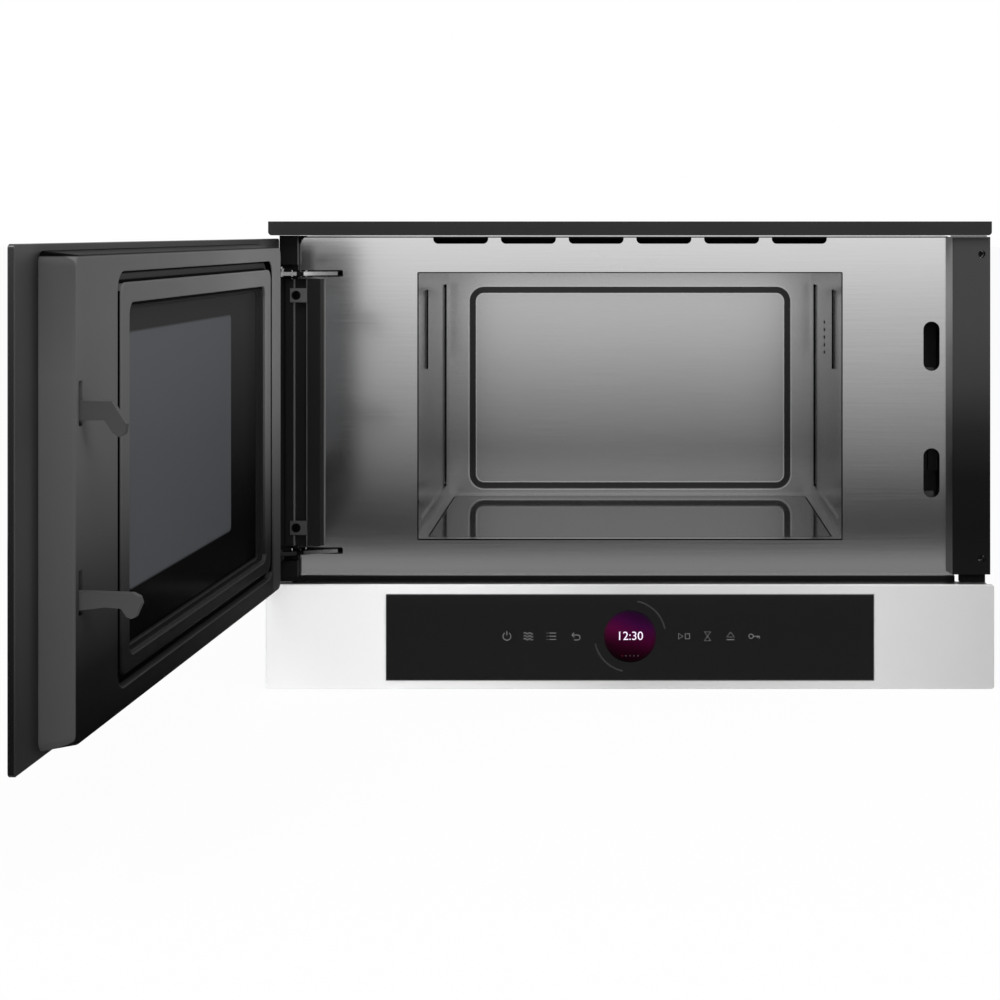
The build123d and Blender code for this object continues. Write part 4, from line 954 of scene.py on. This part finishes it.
display_rim = arc(display_at, display_r, 0, 360 - 360 / display_sides, display_sides)
display_disc = prism(display_rim, (glass_face - print_proud / 4, glass_face + 0.0005), 1, 0)
display_face = merged("display_face", [display_disc], display_glow)
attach(display_face, "chassis")

numbers = bpy.data.curves.new("display_numbers", "FONT")
numbers.body = "12:30"
numbers.size = 0.0098
numbers.align_x = "CENTER"
numbers.align_y = "CENTER"
numbers.extrude = 0.00003
numbers_holder = bpy.data.objects.new("display_numbers", numbers)
bpy.context.scene.collection.objects.link(numbers_holder)
numbers_mesh = baked(numbers_holder)
numbers_place = Matrix.Translation((display_at[0], glass_face - 3 * print_proud, display_at[1]))
numbers_mesh.transform(numbers_place @ Matrix.Rotation(pi / 2, 4, "X"))
number_glow = Finish("number_glow", Roughness=0.4, Emission_Strength=0.35)
number_tint = number_glow.mix(
    number_glow.noise(number_glow.place(), 300.0), rgb(214, 200, 222), rgb(236, 226, 240)
)
number_glow.set("Base Color", number_tint)
number_glow.set("Emission Color", number_tint)
numbers_mesh.materials.clear()
numbers_mesh.materials.append(number_glow.material)
display_numbers = mesh_object("display_numbers", numbers_mesh)
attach(display_numbers, "chassis")


# Door: black outer glass, printed matt black inside, on a moulded inner frame.
# Patterns on it follow the closed door, so its places are turned back about the hinge.
hinge_at = Vector(next(joint["pos_m"] for joint in frame["joints"] if joint["name"] == "door_hinge"))
door_turn = radians(93.3)
door_shift = hinge_at - Matrix.Rotation(door_turn, 3, "Z") @ hinge_at


def shut_axes(finish):
    """The closed door's X, Y and Z at each point of the open door."""
    shut = finish.node(
        "ShaderNodeMapping", {"vector_type": "POINT"},
        {"Vector": finish.place(), "Location": tuple(door_shift), "Rotation": (0.0, 0.0, door_turn)},
    )
    return finish.axes(shut)


door_front = -0.018
door_t = 0.0225
glass_t = 0.004
glass_z = (0.0875, 0.368)
frame_x = (-0.225, 0.262)
frame_z = (0.091, 0.364)
frame_r = 0.007
door_black = Finish("door_glass_black")
shut_x, shut_y, shut_z = shut_axes(door_black)
inside = door_black.ramp(shut_y, door_front + glass_t - 0.0006, door_front + glass_t - 0.0003)
smear = door_black.noise(door_black.place(), 6.0)
# Inside, the glass is painted darker next to the frame, towards the bottom and a little towards the top, as
# painted shade.
from_frame = door_black.outline(shut_x, shut_z, frame_x, frame_z, frame_r)
inside_painted_light = door_black.mix(door_black.ramp(from_frame, 0.002, 0.014), grey(12), grey(44))
inside_painted_light = door_black.fade(inside_painted_light, shut_z, *glass_z, (0.10, 0.38, 0.90, 1.0, 1.0, 0.92, 0.80))
door_black.set("Base Color", door_black.mix(inside, grey(14), inside_painted_light))
door_black.set("Roughness", inside * 0.40 + smear * 0.05 + 0.04)
dress(door_black, "door_glass")

# Door frame and choke cover: hollow satin mouldings with drafted sides; the cover stands inside the
# choke's groove and steps down to the pane. Both are painted greyer towards the top and the hinge,
# as painted light, and black on upper sides as painted shade.
frame_wall = 0.0022
frame_draft = 0.0024
free_draft = 0.006
groove_w = 0.0065
choke_x = (-0.19645, 0.18305)
choke_z = (0.1069, 0.3510)
choke_r = 0.012
window_x = (-0.17415, 0.16075)
window_z = (0.1225, 0.3323)
window_r = 0.008


def spread(span, grow):
    return (span[0] - grow, span[1] + grow)


def door_ring(x, z, r, depth):
    """A ring of points on the open door, from the closed door's X and Z and the depth in it."""
    turn = Matrix.Rotation(-door_turn, 3, "Z")
    flat = [Vector((px, door_front + depth, pz)) for px, pz in rounded(x, z, r)]
    return [hinge_at + turn @ (point - hinge_at) for point in flat]


def door_rings(plans, x, z, r):
    """Rings round one rectangle: how far each grows beyond it, and its depth."""
    return [
        door_ring(spread(x, grow), spread(z, grow), max(r + grow, 0.001), depth)
        for grow, depth in plans
    ]


def frame_ring(inset, depth):
    """A ring round the frame, whose sides lean in with the depth, most at the door's free edge."""
    share = (depth - glass_t) / (door_t - glass_t)
    x = (frame_x[0] + inset + frame_draft * share, frame_x[1] - inset - free_draft * share)
    z = spread(frame_z, -inset - frame_draft * share)
    return door_ring(x, z, frame_r - min(inset, 0.005), depth)


def carved(mesh, cutters):
    """The mesh less each cutter."""
    holder = mesh_object("carved", mesh)
    blocks = [mesh_object("cutter", cutter) for cutter in cutters]
    for block in blocks:
        cut = holder.modifiers.new("cut", "BOOLEAN")
        cut.solver = "EXACT"
        cut.object = block
    made = baked(holder)
    for block in blocks:
        bpy.data.objects.remove(block)
    return made


def door_piece(name, mesh, finish, node):
    piece = merged(name, [mesh], finish)
    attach(piece, "door")
    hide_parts(node)
    return piece


door_face = door_front + door_t
hinge_strip_x = (-0.2000, -0.1950)
free_end_x = (0.2550, 0.2556)
upper_side_z = (0.3604, 0.3612)
door_plastic = moulding("door_plastic", 130, 0.40, gloss=0.004)
shut_x, shut_y, shut_z = shut_axes(door_plastic)
# Painted light on the face, the hinge strip and the free end, and painted shade on the upper side.
face_painted_light = door_plastic.fade(
    door_plastic.colour, shut_x, hinge_strip_x[0], 0.240, (1.0, 1.0, 0.76, 0.65, 0.58, 0.52)
)
strip_painted_light = door_plastic.fade(face_painted_light, shut_z, *frame_z, (0.12, 0.18, 0.30, 0.55, 0.80, 0.95, 1.0, 1.0))
face_painted_light = door_plastic.fade(face_painted_light, shut_z, *frame_z, (0.03, 0.06, 0.24, 0.54, 0.78, 0.92, 1.0, 1.0))
door_painted_light = door_plastic.mix(
    door_plastic.ramp(shut_x, *hinge_strip_x, 1.0, 0.0), face_painted_light, strip_painted_light
)
end_painted_light = door_plastic.fade(grey(82), shut_z, *frame_z, (0.60, 0.70, 0.86, 1.0, 0.74))
door_painted_light = door_plastic.mix(door_plastic.ramp(shut_x, *free_end_x), door_painted_light, end_painted_light)
door_painted_light = door_plastic.mix(door_plastic.ramp(shut_z, *upper_side_z), door_painted_light, grey(3))

# The groove and the steps have painted shade; a few of their edges have painted highlights.
below_face = door_plastic.ramp(shut_y, door_face - 0.0012, door_face - 0.0006, 1.0, 0.0)
from_choke = door_plastic.outline(shut_x, shut_z, choke_x, choke_z, choke_r)
from_window = door_plastic.outline(shut_x, shut_z, window_x, window_z, window_r)
groove_shade = below_face * door_plastic.band(from_choke, -0.0070, 0.0002, 0.0002)
groove_highlight = door_plastic.band(from_choke, -0.0048, -0.0018, 0.0006)
groove_highlight = groove_highlight * door_plastic.ramp(shut_z, 0.343, 0.345)
groove_tint = door_plastic.mix(groove_highlight, grey(5), grey(78))
door_painted_light = door_plastic.mix(groove_shade, door_painted_light, groove_tint)
step_shade = below_face * door_plastic.ramp(from_window, -0.0001, 0.0001, 1.0, 0.0)
step_painted_light = door_plastic.fade(grey(52), shut_z, 0.120, 0.335, (0.30, 0.35, 0.45, 0.65, 1.0))
first_tread_shade = door_plastic.band(from_window, -0.0019, -0.0002, 0.0001)
first_tread_shade = first_tread_shade * door_plastic.ramp(shut_z, 0.3285, 0.3295)
step_painted_light = door_plastic.mix(first_tread_shade, step_painted_light, grey(4))
door_painted_light = door_plastic.mix(step_shade, door_painted_light, step_painted_light)
low_edge_highlights = door_plastic.band(from_window, -0.0014, 0.0004, 0.0003)
low_edge_highlights = low_edge_highlights + door_plastic.band(from_window, -0.0038, -0.0026, 0.0003)
low_edge_highlights = low_edge_highlights * door_plastic.ramp(shut_z, 0.1275, 0.1285, 1.0, 0.0)
low_rim_highlight = door_plastic.band(from_choke, -0.0003, 0.0006, 0.0002)
low_rim_highlight = low_rim_highlight * door_plastic.ramp(shut_z, 0.110, 0.112, 1.0, 0.0)
door_painted_light = door_plastic.mix(low_edge_highlights.at_least(low_rim_highlight) * 0.9, door_painted_light, grey(58))
door_plastic.set("Base Color", door_painted_light)

# The frame: a skin of one thickness, rounded where its sides meet its face, and open to the choke.
frame_skin = door_t - frame_wall
frame_rings = [frame_ring(0.0, glass_t)]
frame_rings += [
    frame_ring(inset, door_t - depth)
    for inset, depth in ((0.0, 0.0015), (0.0002, 0.0007), (0.0007, 0.0002), (0.0015, 0.0))
]
frame_rings += door_rings(
    [(0.0005, door_t), (0.0001, door_t - 0.0002), (0.0, door_t - 0.0005), (0.0, glass_t),
     (frame_wall, glass_t), (frame_wall, frame_skin)],
    choke_x, choke_z, choke_r,
)
frame_rings += [frame_ring(frame_wall, frame_skin), frame_ring(frame_wall, glass_t)]
hook_slot_x = (0.2445, 0.2511)
hook_slot_h = 0.0248
hook_slot_depths = [(0.0, frame_skin - 0.001), (0.0, door_t + 0.001)]
hook_slots = [
    hoop(door_rings(hook_slot_depths, hook_slot_x, (low, low + hook_slot_h), 0.0012), capped=True)
    for low in (0.1637, 0.2677)
]
leaf_pocket_x = (-0.2260, -0.2056)
leaf_pocket_half = 0.0134
leaf_pocket_depths = [(0.0, 0.0035), (0.0, 0.0059)]
leaf_pockets = [
    hoop(
        door_rings(leaf_pocket_depths, leaf_pocket_x, (z - leaf_pocket_half, z + leaf_pocket_half), 0.001),
        capped=True,
    )
    for z in (0.1099, 0.3391)
]
frame_mesh = carved(hoop(frame_rings), hook_slots + leaf_pockets)
door_piece("frame_moulding", frame_mesh, door_plastic, "door_frame")

# The cover: a flange in the choke, a wall up to the face, and three steps down to the pane.
ring_x = spread(choke_x, -groove_w)
ring_z = spread(choke_z, -groove_w)
flange_top = 0.0175
pane_face = 0.0155
tread = 0.00225
step_depths = (door_t, 0.0202, 0.0168, pane_face)
cover_rings = door_rings([(0.0, pane_face), (0.0, pane_face + 0.0004)], ring_x, ring_z, window_r)
cover_rings += door_rings(
    [(-0.0003, pane_face + 0.0004), (-0.0003, flange_top)], choke_x, choke_z, choke_r
)
cover_rings += door_rings(
    [(0.0, flange_top), (0.0, door_t - 0.0012), (-0.0002, door_t - 0.0005), (-0.0005, door_t - 0.0002),
     (-0.0012, door_t)],
    ring_x, ring_z, window_r,
)
for k, (high, low) in enumerate(zip(step_depths, step_depths[1:])):
    plans = [(0.0004 - k * tread, high), (-k * tread, high - 0.0004), (-k * tread, low)]
    cover_rings += door_rings(plans, window_x, window_z, window_r)
door_piece("cover_moulding", hoop(cover_rings), door_plastic, "choke_cover")

# The choke's channel: folded zinc-coated sheet on the glass, round the pane.
channel_floor = 0.005
pane_lap = 0.0045
channel_rings = door_rings(
    [(-0.0003, glass_t + 0.0001), (-0.0003, pane_face), (-0.0013, pane_face), (-0.0013, channel_floor)],
    choke_x, choke_z, choke_r,
)
channel_rings += door_rings(
    [(-pane_lap, channel_floor), (-pane_lap, glass_t + 0.0001)], window_x, window_z, 0.006
)
door_piece("choke_channel", hoop(channel_rings), zinc, "choke_frame")

# Inner pane: dark tinted glass with a black printed border; the screen's field shows through it.
# The field is a fine mesh of holes, a little paler and bluer than the border; both are painted darker
# towards the bottom as painted shade.
mesh_x = (-0.098, 0.140)
mesh_z = (0.158, 0.3135)
mesh_pitch = 0.0021
pane_glass = Finish("pane_glass", Specular_IOR_Level=0.001)
shut_x, shut_y, shut_z = shut_axes(pane_glass)
mesh_mask = pane_glass.ramp(
    pane_glass.outline(shut_x, shut_z, mesh_x, mesh_z, 0.004), -0.0008, 0.0008, 1.0, 0.0
)
mesh_turns = 2 * pi / mesh_pitch
holes = (shut_x * mesh_turns).sine() * (shut_z * mesh_turns).sine() * 0.5 + 0.5
mesh_painted_light = pane_glass.fade(
    pane_glass.mix(holes, rgb(79, 81, 84), rgb(101, 103, 107)), shut_z, *mesh_z, (0.66, 0.78, 1.0)
)
border_painted_shade = pane_glass.fade(grey(60), shut_z, *window_z, (0.06, 0.07, 0.14, 0.32, 0.52, 0.78, 1.0))
pane_glass.set("Base Color", pane_glass.mix(mesh_mask, border_painted_shade, mesh_painted_light))
pane_glass.set("Roughness", pane_glass.noise(pane_glass.place(), 10.0) * 0.05 + 0.14)
pane_rings = door_rings(
    [(pane_lap, 0.0125), (pane_lap, pane_face - 0.0006), (pane_lap - 0.0004, pane_face - 0.0001)],
    window_x, window_z, window_r,
)
door_piece("window_pane", hoop(pane_rings, capped=True), pane_glass, "inner_pane")
screen_paint = moulding("screen_paint", 70, 0.5)
screen_rings = door_rings([(0.002, 0.0119), (0.002, 0.0124)], window_x, window_z, window_r)
door_piece("screen_sheet", hoop(screen_rings, capped=True), screen_paint, "window_screen")

# Latch: grey moulded hooks on a sliding bar with its spring, the catch and its housing.
# Plain engineering plastic, and a drawn steel wire.
hook_plastic = moulding("hook_plastic", 64, 0.5, gloss=0.1)
dress(hook_plastic, "latch_bar")
wire_steel = Finish("wire_steel", Metallic=1.0, Roughness=0.3)
wire_steel.set(
    "Base Color", wire_steel.mix(wire_steel.noise(wire_steel.place(), 900.0), grey(150), grey(190))
)
dress(wire_steel, "latch_spring")
pale_plastic = moulding("pale_plastic", 205, 0.5)
dress(pale_plastic, "air_guide", "thermal_cutouts", "stirrer_bush")
dark_plastic = moulding("dark_plastic", 34, 0.5)
dress(
    dark_plastic, "interlock_housing", "door_catch", "catch_motor", "microswitches", "fan_frame",
    "fan_impeller", "cavity_lamp", "touch_sensors", "display_module",
)

# Works behind the walls: magnetron, inverter, stirrer and their boards.
# Bare metal, green boards and an enamelled winding.
board_green = moulding("board_green", 60, 0.45)
board_mottle = board_green.noise(board_green.place(), 40.0)
board_green.set("Base Color", board_green.mix(board_mottle, rgb(16, 80, 46), rgb(26, 98, 60)))
dress(board_green, "control_board", "inverter_board")
bare_aluminium = brushed("bare_aluminium", (200.0, 200.0, 200.0), 205, 0.35)
dress(bare_aluminium, "heat_sink", "stirrer", "magnetron", "stirrer_motor")
winding = moulding("winding", 60, 0.45)
winding_turns = (winding.axes(winding.place())[2] * 6000.0).sine()
winding.set("Base Color", winding.mix(winding_turns * 0.5 + 0.5, rgb(120, 62, 28), rgb(168, 96, 48)))
dress(winding, "inverter_transformer")
